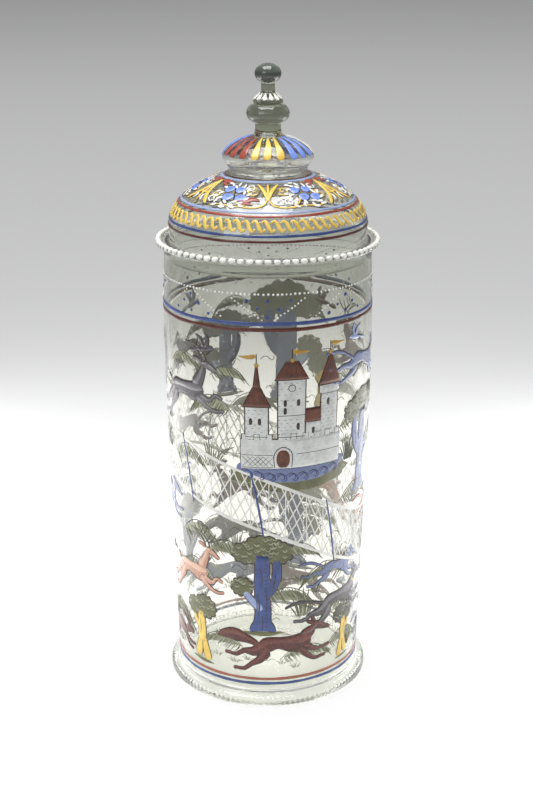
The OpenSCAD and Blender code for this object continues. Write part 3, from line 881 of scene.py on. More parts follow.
def dotted(start, stop):
    """Rows of small round dots on the wall, along straight lines from each start to its stop."""
    share = np.linspace(0, 1, LEG_DOTS)[:, None]
    rows = (start[:, None] + (stop - start)[:, None] * share).reshape(-1, 2)
    rows = rows + chance.normal(0, 0.12, rows.shape)
    return blobs(rows, chance.uniform(0.85, 1.15, (len(rows), 1)) * LEG_DOT_R, wall_skin, 0.26, 0.05, 2.0, 7)


def rim_triangles():
    """Triangles under the rim, by turns upright and hanging: two dotted legs about rows of blue dots."""
    mid = np.arange(TRIANGLES) * (TAU * WALL_REF / TRIANGLES)
    upright = np.arange(TRIANGLES) % 2 == 0
    foot = np.where(upright, 295.4, 283.0)
    tip = np.where(upright, 281.8, 296.4)
    legs = painted("rim_leg_dots", "white", "beaker")
    for side in (-1, 1):
        legs.take(dotted(stacked(mid + side * 23.5, foot), stacked(mid + side * 4, tip)))
    grapes = painted("rim_blue_dots", "blue", "beaker")
    rows = np.array([[-14, -1], [0, -1], [14, -1], [-7, 0], [7, 0], [0, 1]], dtype=float)
    rise = np.where(upright, -1, 1)[:, None]
    spots = stacked(mid[:, None] + rows[:, 0], TRIANGLE_Z + rise * rows[:, 1] * GRAPE_STEP).reshape(-1, 2)
    spots = spots + chance.normal(0, 0.4, spots.shape)
    grapes.take(blobs(spots, chance.uniform(1.05, 1.4, (len(spots), 1)), wall_skin, 0.3, 0.06, 2.5, 12))


def coil(s, t, radius, start, sweep, width):
    """Keys of a curl that winds inwards: the radius shrinks in step with the angle, and so does the width."""
    share = np.linspace(0, 1, 9)
    a = np.radians(start + sweep * share)
    r = radius * (1 - 0.82 * share)
    return stacked(s + r * np.cos(a), t + r * np.sin(a), width * (1 - 0.25 * share))


def lid_scrolls():
    """Scrollwork on the dome, three times round: acanthus, curls, berries, leaves and dabs.

    Heights are given on a span of 27 and drawn down towards the band as a power of their share of it.
    """
    gold = painted("lid_scroll_yellow", "yellow", "lid")
    cobalt = painted("lid_scroll_blue", "petal_blue", "lid")
    chalk = painted("lid_scroll_white", "white", "lid")
    rust = painted("lid_scroll_red", "red", "lid")
    ink = painted("lid_scroll_lines", "umber", "lid")
    low = lid_skin.up_to(SCROLL_Z)
    span = lid_skin.up_to(dome_z(BULB_FOOT_R + 4.6)) - low
    third = TAU * DOME_REF / LAPS
    laps = repeated([[0, 0, 0]], np.arange(LAPS) * third)

    def seat(keys, base, side=1):
        """Keys of s, height and width on the dome, mirrored or not, at each of the three laps."""
        keys = np.array(keys, dtype=float)
        keys[..., 0] = keys[..., 0] * side + base
        keys[..., 1] = low + span * np.clip(keys[..., 1] / SCROLL_SPAN, 0.01, 1) ** 1.2
        return (laps[:, None] + keys).reshape(-1, *keys.shape[-2:])

    def brush(pot, base, keys, sides=(-1, 1), rim=0.5):
        """The same strokes at each lap, plain and mirrored, each over a dark outline a little wider. The
        outline is shifted a little right and down, so that it shows most under the stroke as a painted
        shadow.
        """
        for side in sides:
            put = seat(keys, base, side)
            put = put + chance.normal(0, 0.16, put.shape) * np.array([1, 1, 0.4])
            if rim:
                # Dark outline, shifted right and down: the drawn contour, and a painted shadow under the
                # stroke
                ink.take(stroked(put + np.array([0.15, -0.15, rim]), lid_skin, 0.16, 0.06))
            pot.take(stroked(put, lid_skin, 0.26))

    def berry(base, x, y):
        """A round blue berry over its outline, with three dark ticks."""
        spots = seat([[x, y, 0]], base)[:, 0, :2] + chance.normal(0, 0.25, (LAPS, 2))
        ink.take(blobs(spots, (5.1, 4.2), lid_skin, 0.22, 0.04, 8, 30, 0.3, 3, 0.12))
        cobalt.take(blobs(spots, (4.8, 3.9), lid_skin, 0.32, 0.08, 5, 30, 0.3, 3, 0.12))
        tick = np.array([[[0.4 * lean, -0.6, 0.5], [lean, 2.0, 0.3]] for lean in (-1.7, 0.0, 1.7)])
        tick = (tick + widened(spots, 0)[:, None, None]).reshape(-1, 2, 3)
        ink.take(stroked(tick, lid_skin, 0.38, 0.05, n=5))

    stand = third / 2
    brush(rust, stand, [[1.5, 25, 1.6], [7, 26.6, 4.6], [13, 24.8, 3.6], [18, 26, 0.8]])
    brush(rust, stand, [[6, 25, 1.2], [10.5, 22.6, 2.8], [14.5, 21.6, 0.8]])
    brush(gold, stand, [[0, 26, 1.6], [2.2, 20, 3.4], [5.0, 12, 3.8], [9.0, 5, 2.8], [11.5, 2, 1.2]])
    brush(gold, stand, [[0.2, 22, 1.2], [0.2, 13, 2.4], [0.6, 3, 1.4]], (1,))
    brush(gold, stand, [[0.5, 11.5, 2.0], [4, 13, 1.8]])
    brush(gold, stand, coil(13.0, 12.5, 4.6, 110, -450, 1.3))
    brush(chalk, stand, [[4.5, 4, 0.8], [3.4, 7.5, 2.2], [4.0, 10.5, 1.0]])
    hang = 0
    brush(rust, hang, [[5, 9, 0.8], [10, 10.6, 4.2], [15.5, 8.2, 3.4], [20.5, 9.4, 0.8]], (-1,))
    brush(rust, hang, [[9, 4.6, 0.8], [14, 6.4, 2.8], [19, 4.8, 0.8]], (-1,))
    brush(gold, hang, [[0, 9, 1.6], [1.2, 14, 2.8], [4.0, 20, 3.4], [9.5, 25.5, 1.4]])
    brush(gold, hang, [[0, 14, 1.2], [0, 20.5, 2.6], [0, 26, 1.0]], (1,))
    brush(gold, hang, [[0.4, 10, 1.2], [3, 5, 1.4], [9, 2.2, 1.4], [16, 3.2, 1.3], [20.5, 8.5, 1.2],
                       [21.5, 13, 0.9]])
    brush(gold, hang, coil(11.4, 18.6, 5.0, -150, 450, 1.4))
    brush(chalk, hang, [[5, 8.5, 1.0], [9, 11.5, 3.0], [14, 12, 2.4], [17, 15, 0.8]], (1,))
    brush(chalk, hang, coil(7.6, 8.4, 3.8, 190, 420, 1.4), (1,))
    for flower in (third / 4, -third / 4):
        for ring_r, n, start in ((8.4, 9, 0.3), (11.6, 13, 0.1), (14.6, 16, 0.25)):
            fan = start + np.arange(n) * TAU / n
            fan = fan[np.abs(np.cos(fan)) < (1.0 if ring_r < 13 else 0.75)]
            mid = stacked(ring_r * 1.1 * np.cos(fan), 14.0 + ring_r * 0.86 * np.sin(fan))
            lean = fan + chance.normal(0.8, 0.5, len(fan))
            way = stacked(np.cos(lean), np.sin(lean))
            dabs = widened(np.stack([mid - 2.2 * way, mid, mid + 2.4 * way], axis=1), [0.8, 2.5, 1.1])
            brush(chalk, flower, dabs[(dabs[..., 1] > 0.6).all(1) & (dabs[..., 1] < 26.6).all(1)], (1,), 0.4)
        for x, y in ((-5.2, 18.6), (4.6, 19.0), (-1.6, 11.6), (7.4, 11.0)):
            berry(flower, x, y)
        brush(chalk, flower, coil(-12.4, 8.0, 4.4, 40, 430, 1.4), (1,))
        brush(chalk, flower, coil(12.8, 20.4, 4.2, 200, -430, 1.4), (1,))
        brush(gold, flower, [[-12, 1.6, 0.8], [-4, 4.0, 1.2], [5, 2.6, 1.2], [13, 4.4, 0.8]], (1,))
        brush(ink, flower, [[-16, 3, 0.5], [-8, 5.6, 0.7], [0, 5.2, 0.7], [9, 3.8, 0.5]], (1,), 0)


rim_triangles()
lid_scrolls()


# Painted hunt round the wall

# Coats, from the lowest: outline and wash, body, drawing, and what lies over the drawing

COAT_TOP = (0.12, 0.19, 0.25, 0.31)
COAT_SINK = (0.05, 0.10, 0.04, 0.03)
FIGURE_RIM = 0.9
BLOCK_RIM = 0.8
LIGHTER = {"maroon": "fox", "brown": "fox", "slate": "ash", "salmon": "fawn"}
HUNT_PAINTS = ("wall", "net", "blue", "steel", "pale", "roof", "brown", "umber", "maroon", "salmon", "olive",
               "moss", "sage", "yellow", "slate", "ochre", "fox", "ash", "fawn")
hunt = {name: painted("hunt_" + name, name, "beaker") for name in HUNT_PAINTS}


class Motif:
    """One painted figure, drawn in its own units: a foot point, size, facing and lean set it on the wall."""

    def __init__(self, s, t, size=1.0, face=1, lean=0.0):
        self.origin = np.array([s, t])
        self.size = size
        a = np.radians(lean)
        self.turn = np.array([[np.cos(a), np.sin(a)], [-np.sin(a), np.cos(a)]]) * np.array([face, 1])

    def put(self, keys, more):
        """Keys (count, keys, 3) on the wall, with their widths made more by some millimetres."""
        keys = np.asarray(keys, dtype=float)
        keys = keys[None] if keys.ndim == 2 else keys
        flat = keys[..., :2] @ self.turn * self.size + self.origin
        return widened(flat, keys[..., 2] * self.size + more)

    def stroke(self, colour, keys, coat, square=False, more=0.0, n=9):
        """Brush strokes of one colour on one of the coats."""
        put = self.put(keys, more)
        hunt[colour].take(stroked(put, wall_skin, COAT_TOP[coat], COAT_SINK[coat], square, n))

    def figure(self, colour, parts, rim=FIGURE_RIM, square=False):
        """Parts of one colour over the same parts in the dark outline, a little wider."""
        for part in parts:
            self.stroke("umber", part, 0, square, rim)
        for part in parts:
            self.stroke(colour, part, 1, square)
            wide = np.array(part)[:, 2:]
            if colour in LIGHTER and not square and wide.max() > 8:
                self.stroke(LIGHTER[colour], part * np.array([1, 1, 0.42]) + wide * np.array([0, 0.2, 0]), 2)

    def lines(self, parts, coat=2, colour="umber"):
        """Thin drawn lines, each a list of keys."""
        for part in parts:
            self.stroke(colour, part, coat)

    def pool(self, colour, x, y, rx, ry, coat=1, lobes=0, depth=0.0, more=0.0):
        """A pool of one colour about a point, plain or scalloped."""
        spot = (np.array([[x, y]]) @ self.turn) * self.size + self.origin
        radii = (rx * self.size + more, ry * self.size + more)
        hunt[colour].take(blobs(spot, radii, wall_skin, COAT_TOP[coat], COAT_SINK[coat], 10, lobes=lobes,
                                depth=depth))

    def block(self, colour, x0, x1, y0, y1, coat=1):
        """An upright block from x0 to x1 and y0 to y1, over its outline."""
        x = (x0 + x1) / 2
        edge = BLOCK_RIM / 2 / self.size
        self.stroke("umber", [[x, y0 - edge, x1 - x0], [x, y1 + edge, x1 - x0]], coat - 1, True, BLOCK_RIM)
        self.stroke(colour, [[x, y0, x1 - x0], [x, y1, x1 - x0]], coat, True)

    def gable(self, x, y0, y1, wide, tip):
        """A roof that narrows from wide to tip, over its outline."""
        self.stroke("umber", [[x, y0 - 0.5, wide], [x, y1 + 0.5, tip]], 0, True, FIGURE_RIM)
        self.stroke("roof", [[x, y0, wide], [x, y1, tip]], 1, True)


def hound(s, t, size, colour, lean=0.0, brush=4.5, collar="yellow"):
    """A running hound: tapering strokes for trunk, neck, head, legs and tail, then ears, eye and collar."""
    m = Motif(s, t, size, lean=lean)
    m.figure(colour, [
        [[15, 55, 5], [2, 61, brush * 0.6], [-14, 65, brush], [-27, 64, brush * 0.7], [-38, 60, 2]],
        [[66, 47, 11], [77, 36, 6], [86, 31, 4.2], [97, 32, 3.2], [101, 31, 4.8]],
        [[26, 48, 15], [16, 36, 9], [6, 30, 5], [-3, 23, 4], [-13, 23, 3.2], [-17, 22, 4.8]],
        [[79, 58, 11], [67, 54, 25], [52, 55, 19], [38, 57, 14], [26, 55, 18], [14, 51, 12]],
        [[66, 58, 19], [76, 66, 14], [84, 71, 11]],
        [[79, 73, 9], [88, 73, 10], [97, 69, 6.4], [107, 65.5, 2.6]],
        [[70, 50, 12], [82, 44, 6.8], [92, 42, 4.4], [103, 44, 3.2], [107, 43, 4.8]],
        [[22, 52, 17], [8, 46, 11], [-3, 46, 5.6], [-13, 40, 4.2], [-24, 41, 3.2], [-28, 40, 4.8]]])
    m.figure(colour, [[[85, 76, 3], [81, 82, 4.6], [78, 86, 1]],
                      [[82, 75, 2.4], [76, 79, 4.4], [72, 81, 1]]], 0.6)
    m.pool("umber", 89, 75, 1.2, 1.2, 3)
    m.lines([[[10, 46, 0.5], [19, 43, 1.0], [28, 49, 0.6]], [[45, 49, 0.5], [53, 47, 0.9], [62, 47, 0.5]],
             [[96, 67, 0.5], [102, 65.6, 0.8], [106, 64.6, 0.4]],
             [[60, 60, 0.5], [62, 53, 0.9], [67, 47, 0.5]], [[30, 60, 0.4], [42, 62, 0.8], [56, 61, 0.4]]])
    if collar:
        m.stroke(collar, [[71, 69.5, 2.4], [75, 64, 2.6], [80.5, 60.5, 2.4]], 2)


def stag(s, t, size, colour, lean=0.0):
    """A leaping deer: tapering strokes for trunk, long neck, head and legs, with branched antlers."""
    m = Motif(s, t, size, lean=lean)
    for off in (0, 7):
        m.lines([[[78 + off, 98, 2.6], [73 + off, 110, 2.8], [62 + off, 119, 2.4], [50 + off, 123, 1]],
                 [[76 + off, 105, 2], [84 + off, 112, 2], [88 + off, 120, 0.8]],
                 [[68 + off, 116, 2], [73 + off, 123, 1.8], [73 + off, 131, 0.8]]], 1)
    m.figure(colour, [
        [[66, 51, 11], [80, 40, 6], [92, 35, 4.4], [100, 36, 4.0], [104, 35, 5.4]],
        [[27, 53, 16], [13, 38, 9], [4, 28, 5.2], [-6, 19, 4.6], [-13, 20, 4.0], [-17, 19, 5.4]],
        [[77, 61, 11], [63, 58, 25], [46, 60, 19], [36, 61, 17], [26, 60, 21], [12, 58, 12]],
        [[64, 64, 20], [74, 80, 13], [80, 93, 9]],
        [[77, 95, 9], [86, 94, 8.6], [95, 88, 5.8], [100, 85, 4]],
        [[77, 98, 3], [70, 102, 5], [63, 103, 1.6]],
        [[71, 53, 12], [85, 48, 6.6], [92, 56, 4.8], [99, 53, 4.2], [103, 51, 5.4]],
        [[22, 57, 18], [8, 47, 11], [-4, 40, 5.6], [-15, 32, 4.8], [-23, 33, 4.2], [-27, 32, 5.4]],
        [[13, 64, 4], [7, 70, 5.4], [2, 70, 2]]])
    m.pool("umber", 86, 95.5, 1.3, 1.3, 3)
    m.lines([[[8, 49, 0.5], [19, 46, 1], [29, 53, 0.6]], [[60, 48, 0.5], [66, 56, 1], [73, 55, 0.6]],
             [[30, 53, 0.5], [42, 52, 0.9], [54, 50, 0.5]], [[66, 74, 0.4], [71, 84, 0.8], [76, 90, 0.4]],
             [[92, 85.6, 0.4], [96, 85, 0.8], [99, 83.6, 0.4]]])


def hare(s, t, size, colour):
    """A leaping hare: an arched trunk, long ears laid back and long hind legs."""
    m = Motif(s, t, size)
    m.figure(colour, [
        [[66, 43, 8], [76, 32, 5], [87, 28, 4.2], [92, 28, 5]],
        [[28, 43, 15], [17, 29, 8], [4, 22, 6], [-8, 22, 4.6], [-13, 21, 6]],
        [[74, 48, 10], [60, 52, 19], [42, 56, 21], [24, 51, 23], [11, 43, 11]],
        [[70, 53, 13], [81, 60, 14], [90, 58, 8], [95, 55, 4]],
        [[80, 65, 4], [70, 76, 6.8], [59, 82, 5.8], [50, 83, 2]],
        [[83, 66, 4], [77, 79, 6.8], [69, 88, 5.4], [61, 92, 2]],
        [[70, 45, 9], [82, 38, 5.8], [92, 37, 4.4], [98, 38, 5]],
        [[24, 47, 18], [10, 37, 9], [-3, 31, 6.4], [-15, 29, 4.8], [-20, 28, 6]],
        [[13, 53, 6], [5, 58, 8], [0, 59, 3]]])
    m.pool("umber", 84, 62, 1.5, 1.5, 3)
    m.lines([[[10, 40, 0.5], [20, 37, 1], [31, 45, 0.6]], [[46, 47, 0.5], [55, 46, 0.9], [64, 43, 0.5]],
             [[78, 69, 0.4], [70, 76, 0.9], [60, 81, 0.4]], [[87, 54.6, 0.4], [91, 54, 0.8], [94, 53, 0.4]]])


def crown(m, pools, colour):
    """The leafy head of a tree: scalloped pools (x, y, rx, ry) over their outline, with marks of leaves."""
    mark = np.array([[-1.3, 0.5, 0.2], [-0.5, -0.6, 0.5], [0.5, -0.6, 0.5], [1.3, 0.5, 0.2]]) * 1.35 / m.size
    for pool in pools:
        m.pool("umber", *pool, 0, 11, 0.13, more=0.55)
    for x, y, rx, ry in pools:
        m.pool(colour, x, y, rx, ry, 1, 11, 0.13)
        n = max(4, int(rx * ry * m.size * m.size / 5))
        a = chance.uniform(0, TAU, n)
        r = np.sqrt(chance.uniform(0.02, 0.74, n))
        mid = stacked(x + rx * r * np.cos(a), y + ry * r * np.sin(a))
        keys = widened(mid[:, None] + mark[:, :2], mark[:, 2])
        m.stroke("umber" if colour == "moss" else "moss", keys, 2, n=7)
        m.stroke("sage", keys[::2] + np.array([0.3, 1.2, 0.3]) / m.size, 2, n=7)


def tree(s, t, high, leaf="olive", face=1):
    """A tall blue tree: a trunk that flares to its roots, a limb, a pale stub, bark lines and leaves."""
    m = Motif(s, t, high / 100, face)
    m.stroke("olive", [[-22, -2, 0.8], [-8, -3.2, 4.4], [8, -3.4, 4.4], [23, -1.6, 0.8]], 0)
    m.figure("pale", [[[0, 22, 9], [-10, 32, 8], [-18, 41, 6.5]]])
    m.figure("blue", [[[3, 36, 10], [11, 48, 10], [14.5, 61, 9.4], [14, 76, 8]],
                      [[-3, 11, 9], [-8.5, 3, 8], [-13, -1, 3]],
                      [[3, 11, 9], [8.5, 3.4, 8], [13.5, -0.6, 3]]])
    m.figure("blue", [[[0, -0.5, 21], [0, 8, 18], [0.6, 24, 16], [-0.4, 50, 15.4], [0, 80, 14]]], square=True)
    m.lines([[[-1, 0, 0.6], [0.6, 8, 1.2], [-0.4, 17, 0.5]],
             [[-4.6, 14, 0.5], [-3.4, 27, 1.1], [-5, 40, 0.5]],
             [[3.6, 20, 0.5], [4.6, 33, 1.1], [2.6, 46, 0.5]],
             [[-2, 44, 0.5], [0, 56, 1.1], [-3, 68, 0.5]],
             [[10.4, 44, 0.5], [12.6, 54, 1.0], [13.4, 66, 0.5]]])
    y = np.linspace(6, 76, 18)
    x = 6.4 - 0.012 * y
    m.stroke("umber", keyed((x, y, 0.3), (x - 2.4, y - 1.4, 0.8), (x - 4.4, y - 1.0, 0.3)), 2, n=5)
    crown(m, [(-20.5, 46, 12, 10.5)], leaf)
    crown(m, [(-15, 82, 17, 12), (15, 82.5, 17, 12.5), (0.5, 88.5, 21, 13)], leaf)


def sapling(s, t, high, leaf="olive", face=1):
    """A young yellow tree: a straddling trunk and one round head of leaves."""
    m = Motif(s, t, high / 100, face)
    m.stroke("olive", [[-20, -3, 0.8], [-6, -4.4, 5], [9, -5, 5], [22, -5.4, 0.8]], 0)
    m.figure("yellow", [[[0, 30, 13], [-5, 14, 13], [-9, 0, 15]], [[1, 34, 13], [7, 16, 13], [12, -3, 16]],
                        [[0, 24, 18], [1, 44, 16], [0, 70, 14]], [[-2, 44, 9], [-11, 54, 8], [-14, 62, 6]]])
    m.lines([[[0.5, 4, 0.6], [1, 16, 1.6], [0.6, 26, 0.6]], [[-2, 34, 0.6], [-1, 46, 1.4], [-2.4, 58, 0.6]]])
    crown(m, [(-13, 74, 17, 14), (8, 78, 22, 18)], leaf)


def bush(s, t, wide, high, colour):
    """A clump of leaves: narrow blades that fan out of the ground, with a dark line up each."""
    share = np.linspace(-1, 1, 11)
    tall = high * (1 - 0.5 * share ** 2) * chance.uniform(0.75, 1.15, 11)
    x = share * wide
    keys = keyed((x * 0.26, 0, 0.3), (x * 0.42, tall * 0.55, wide * 0.08), (x * 0.62, tall, 0.3))
    m = Motif(s, t)
    m.stroke(colour, keys, 0)
    m.stroke("moss", keys * np.array([1, 0.93, 0]) + np.array([0.3, 0.5, 0.4]), 1, n=7)


def hillock(s, t, wide, high, face):
    """A grassy bank: a pale wash under an arched contour, hatched with strokes that lean down the slope."""
    m = Motif(s, t, 1.0, face)
    m.stroke("sage", [[-0.42 * wide, 0.2 * high, 0.6], [-0.2 * wide, 0.45 * high, 0.5 * high],
                      [0.06 * wide, 0.5 * high, 0.62 * high], [0.3 * wide, 0.25 * high, 0.42 * high],
                      [0.48 * wide, -0.05 * high, 0.5]], 0)
    m.lines([[[-0.5 * wide, 0, 0.3], [-0.3 * wide, 0.66 * high, 0.6], [0, high, 0.7],
              [0.3 * wide, 0.6 * high, 0.6], [0.5 * wide, -0.1 * high, 0.3]]], 1, "moss")
    n = int(wide * 0.9)
    x = np.linspace(-0.42, 0.44, n) + chance.normal(0, 0.012, n)
    crest = high * (1 - 4.2 * x ** 2) * chance.uniform(0.7, 1.0, n)
    drop = high * chance.uniform(0.4, 0.9, n)
    x = x * wide
    keys = keyed((x, crest, 0.4), (x + 0.25 * drop, crest - 0.5 * drop, 0.7),
                 (x + 0.7 * drop, crest - drop, 0.25))
    m.stroke("olive", keys[::2], 1, n=7)
    m.stroke("moss", keys[1::2], 1, n=7)


def masonry(m, x0, x1, y0, y1, rows, per):
    """Short dark dashes laid in courses over a wall."""
    y, x = np.meshgrid(np.linspace(y0, y1, rows), np.linspace(x0, x1, per), indexing="ij")
    x = x + (np.arange(rows) % 2)[:, None] * (x1 - x0) / per / 2
    half = (x1 - x0) / per * 0.28
    keep = x + half < x1 + 0.5
    m.stroke("umber", keyed((x[keep] - half, y[keep], 0.34), (x[keep] + half, y[keep], 0.34)), 2, n=5)


def windows(m, places, wide, high):
    """Dark upright windows at places (x, y)."""
    mid = np.asarray(places, dtype=float)[:, None]
    m.stroke("umber", widened(mid + np.array([[0, -high / 2], [0, high / 2]]), wide), 2)


def castle(s, t, size):
    """A walled castle on a mound in water: curtain wall, keep, chapel, tower, gate, roofs and pennants."""
    m = Motif(s, t, size)
    m.pool("olive", 0, -5, 46, 12, 0, 11, 0.07)
    m.stroke("steel", [[-39, 2, 7], [-20, -3, 11], [4, -4.4, 12], [25, -2.6, 10.5], [40, 3, 6]], 1)
    wave = repeated([[-36, -0.6, 0.3], [-33.2, 1.6, 0.8], [-29.8, 0.6, 0.8], [-29.4, -2.8, 0.8],
                     [-32.4, -3.6, 0.3]], np.arange(9) * 7.8)
    wave[..., 1] -= 4.4 * (1 - (wave[..., 0] / 38) ** 2)
    m.stroke("blue", wave + np.array([1.4, -1.0, 0.4]), 2)
    m.stroke("umber", wave, 2)
    m.block("wall", 19, 33, 16, 57)
    m.block("wall", 17.6, 34.4, 53, 58)
    m.gable(26, 58.6, 80, 18, 0.9)
    m.block("wall", -11, 8, 18, 64)
    m.gable(-1.5, 64.5, 77, 23, 8)
    m.block("wall", -33, -17, 20, 45)
    m.gable(-25, 45.5, 59, 19, 5)
    m.gable(-25, 59, 74, 4.6, 0.8)
    m.block("wall", 8, 20, 20, 33)
    m.gable(14, 33.5, 43, 15, 11)
    m.block("wall", -36, 36, 1, 22, 2)
    tooth = repeated([[-33.2, 22, 4.2], [-33.2, 25.6, 4.2]], np.arange(9) * 8.3)
    m.stroke("umber", tooth + np.array([0, 0.4, 0.9]), 1, True)
    m.stroke("wall", tooth, 2, True)
    m.stroke("roof", [[-7, 1.2, 10], [-7, 8, 10.4], [-7, 14.6, 9.0]], 3)
    m.lines([[[x, 1.6, 0.5], [x, 12.4, 0.5]] for x in (-9.6, -7, -4.4)], 3)
    m.lines([[[-13, 1.4, 0.7], [-13, 12, 0.8], [-7, 16.6, 0.9], [-1, 12, 0.8], [-1, 1.4, 0.7]]], 3)
    for wall in ((2, 35, 3.0, 9.4, 3, 8), (-34, -15, 12.5, 20, 4, 7), (2, 35, 12.0, 20.5, 4, 10),
                 (20, 32, 26, 51, 11, 4), (-32, -19, 25, 43, 8, 4), (-10, 6, 26, 36, 5, 5),
                 (-10, 6, 46, 62, 5, 5)):
        masonry(m, *wall)
    m.lines([[[x, 2.4, 0.35], [x + 7.4, 10, 0.35]] for x in (-35, -31.4, -27.8, -24.2, -20.6)], 3)
    m.lines([[[x, 2.4, 0.35], [x - 7.4, 10, 0.35]] for x in (-13.4, -17, -20.6, -24.2, -27.8)], 3)
    m.lines([[[-35.6, 10.8, 0.5], [-13.6, 10.8, 0.5]], [[-35.6, 1.8, 0.5], [-13.6, 1.8, 0.5]],
             [[2, 11, 0.5], [36, 11, 0.5]], [[19, 52, 0.5], [33, 52, 0.5]], [[-11, 39, 0.5], [8, 39, 0.5]],
             [[-11, 23.6, 0.6], [8, 23.6, 0.6]], [[-33, 24, 0.5], [-17, 24, 0.5]]], 3)
    m.pool("umber", -1.5, 58.6, 3.4, 3.4, 2)
    m.pool("wall", -1.5, 58.6, 2.7, 2.7, 3)
    m.lines([[[-1.5, 57.4, 1.6], [-1.5, 59.8, 1.6]]], 3)
    windows(m, [(-6, 48), (3, 48), (-6, 42.4), (3, 31), (-29, 35), (-23, 35), (25, 46), (14, 27)], 2.6, 5)
    m.lines([[[x, 66, 0.5], [x * 0.5 - 0.7, 76, 0.5]] for x in (-10, -6, -2, 2, 6)])
    m.lines([[[26 + x, 60, 0.5], [26 + x * 0.3, 75, 0.4]] for x in (-6, -3, 0, 3)])
    m.lines([[[-25 + x, 47, 0.5], [-25 + x * 0.3, 58, 0.4]] for x in (-6, -2, 2, 6)])
    for x, y, way in ((26, 80, 1), (-25, 74, -1), (-1.5, 77, 1)):
        m.stroke("umber", [[x, y, 0.8], [x, y + 9, 0.7]], 1)
        m.stroke("ochre", [[x + 0.4 * way, y + 7.2, 3.6], [x + 6 * way, y + 6.2, 2.8],
                           [x + 12 * way, y + 6.8, 0.5]], 2)
        m.pool("ochre", x, y + 0.8, 1.6, 1.6, 2)


def bird(s, t, size, colour, face=1):
    """A bird on the wing: body, tail and two raised wings."""
    m = Motif(s, t, size, face)
    m.figure(colour, [[[-12, 0, 3], [0, 1, 8], [10, 4, 7], [16, 3, 2]],
                      [[0, 3, 5], [-5, 14, 6], [-14, 20, 1]], [[3, 3, 5], [6, 15, 6], [2, 24, 1]],
                      [[-10, 0, 3], [-20, -3, 6], [-25, -3, 3]]], 0.7)


NET_HALF = 19.0
NET_STRANDS = 66
NET_STAKES = 8
CURL_SIZE = 4.0


def net_height(s):
    """Middle of the net: one slow wave round the vessel that falls to the right at the front."""
    return 148 - 33 * np.sin(s / WALL_REF) + 3 * np.sin(3 * s / WALL_REF + 1)


def hunting_net():
    """A net on blue stakes: two cords round the vessel and straight meshes that slant between them."""
    a = np.arange(300) * TAU / 300
    for side in (-1, 1):
        path = stacked(a * WALL_REF, net_height(a * WALL_REF) + side * NET_HALF)
        hunt["net"].take(ribbon_round(path, 2.4 + 0.3 * np.sin(9 * a + side), wall_skin, 0.22))
    foot = np.arange(NET_STRANDS) + chance.uniform(-0.18, 0.18, NET_STRANDS)
    foot = foot * TAU * WALL_REF / NET_STRANDS
    share = np.linspace(0, 1, 4)
    for slant, width, every in ((-NET_HALF, 0.95, 1), (0.0, 0.8, 2), (NET_HALF, 0.95, 1)):
        head = foot + slant + chance.normal(0, 0.7, NET_STRANDS)
        s = foot[:, None] + (head - foot)[:, None] * share
        t = net_height(s) + NET_HALF * (2 * share - 1)
        keys = widened(stacked(s, t), width)
        hunt["net"].take(stroked(keys[::every], wall_skin, 0.17, 0.06))
    s = np.arange(NET_STAKES) * TAU * WALL_REF / NET_STAKES - 62
    t = net_height(s)
    stakes = keyed((s - 5, t + NET_HALF + 5, 1.3), (s, t, 1.7), (s + 4, t - NET_HALF - 6, 1.2))
    hunt["blue"].take(stroked(stakes, wall_skin, 0.28, 0.08))


def tufts(places, colour, n, high):
    """Tufts of grass: blades that fan out from a root and curl over, each a thin stroke."""
    lean = np.radians(np.linspace(-58, 58, n)) + chance.normal(0, 0.12, (len(places), n))
    tall = high * chance.uniform(0.6, 1.1, (len(places), n))
    root = places[:, None] + stacked(lean * 1.6, 0)
    mid = root + stacked(np.sin(lean) * tall * 0.5, np.cos(lean * 0.7) * tall * 0.62)
    tip = root + stacked(np.sin(lean) * tall * 1.1, np.cos(lean) * tall * 0.9)
    keys = widened(np.stack([root, mid, tip], axis=2), [0.7, 0.6, 0.2])
    hunt[colour].take(stroked(keys.reshape(-1, 3, 3), wall_skin, 0.16, 0.06, n=6))


def flourishes(places):
    """Loose pen curls in the open ground: an arch that ends in a hook, by chance mirrored."""
    mark = np.array([[-1.2, -0.2], [-0.6, 0.5], [0.2, 0.4], [0.7, -0.2], [1.3, 0.1], [1.1, 0.6]]) * CURL_SIZE
    side = chance.choice([-1.0, 1.0], len(places))[:, None, None] * np.array([1.0, 0]) + np.array([0, 1.0])
    keys = places[:, None] + mark * side * chance.uniform(0.7, 1.3, (len(places), 1, 1))
    hunt["moss"].take(stroked(widened(keys, 0.5), wall_skin, 0.15, 0.06, n=11))


# Layout of the hunt: s, t and then the size of each figure

HILLOCKS = (
    (44, 92, 40, 13), (-60, 92, 40, 12), (66, 36, 40, 11), (-86, 50, 44, 12), (-54, 120, 38, 13),
    (74, 146, 40, 12), (108, 184, 36, 11), (130, 68, 44, 13), (176, 90, 50, 14), (222, 38, 52, 13),
    (268, 82, 44, 13), (304, 126, 40, 12), (150, 194, 44, 13), (262, 212, 44, 12), (318, 222, 40, 11),
    (-30, 112, 36, 12), (22, 112, 34, 11), (14, 78, 40, 12), (-36, 42, 36, 10), (30, 34, 42, 10),
    (60, 66, 36, 12), (-62, 176, 34, 12), (92, 214, 36, 11), (200, 134, 44, 13), (118, 122, 42, 12),
    (286, 48, 44, 12), (232, 176, 40, 12), (-40, 216, 34, 12), (-62, 244, 32, 10), (-27, 241, 26, 9),
    (170, 214, 40, 12), (192, 248, 36, 11), (228, 236, 38, 12), (246, 254, 30, 9), (140, 240, 38, 11),
    (274, 240, 36, 11), (66, 200, 30, 11), (80, 238, 30, 10))
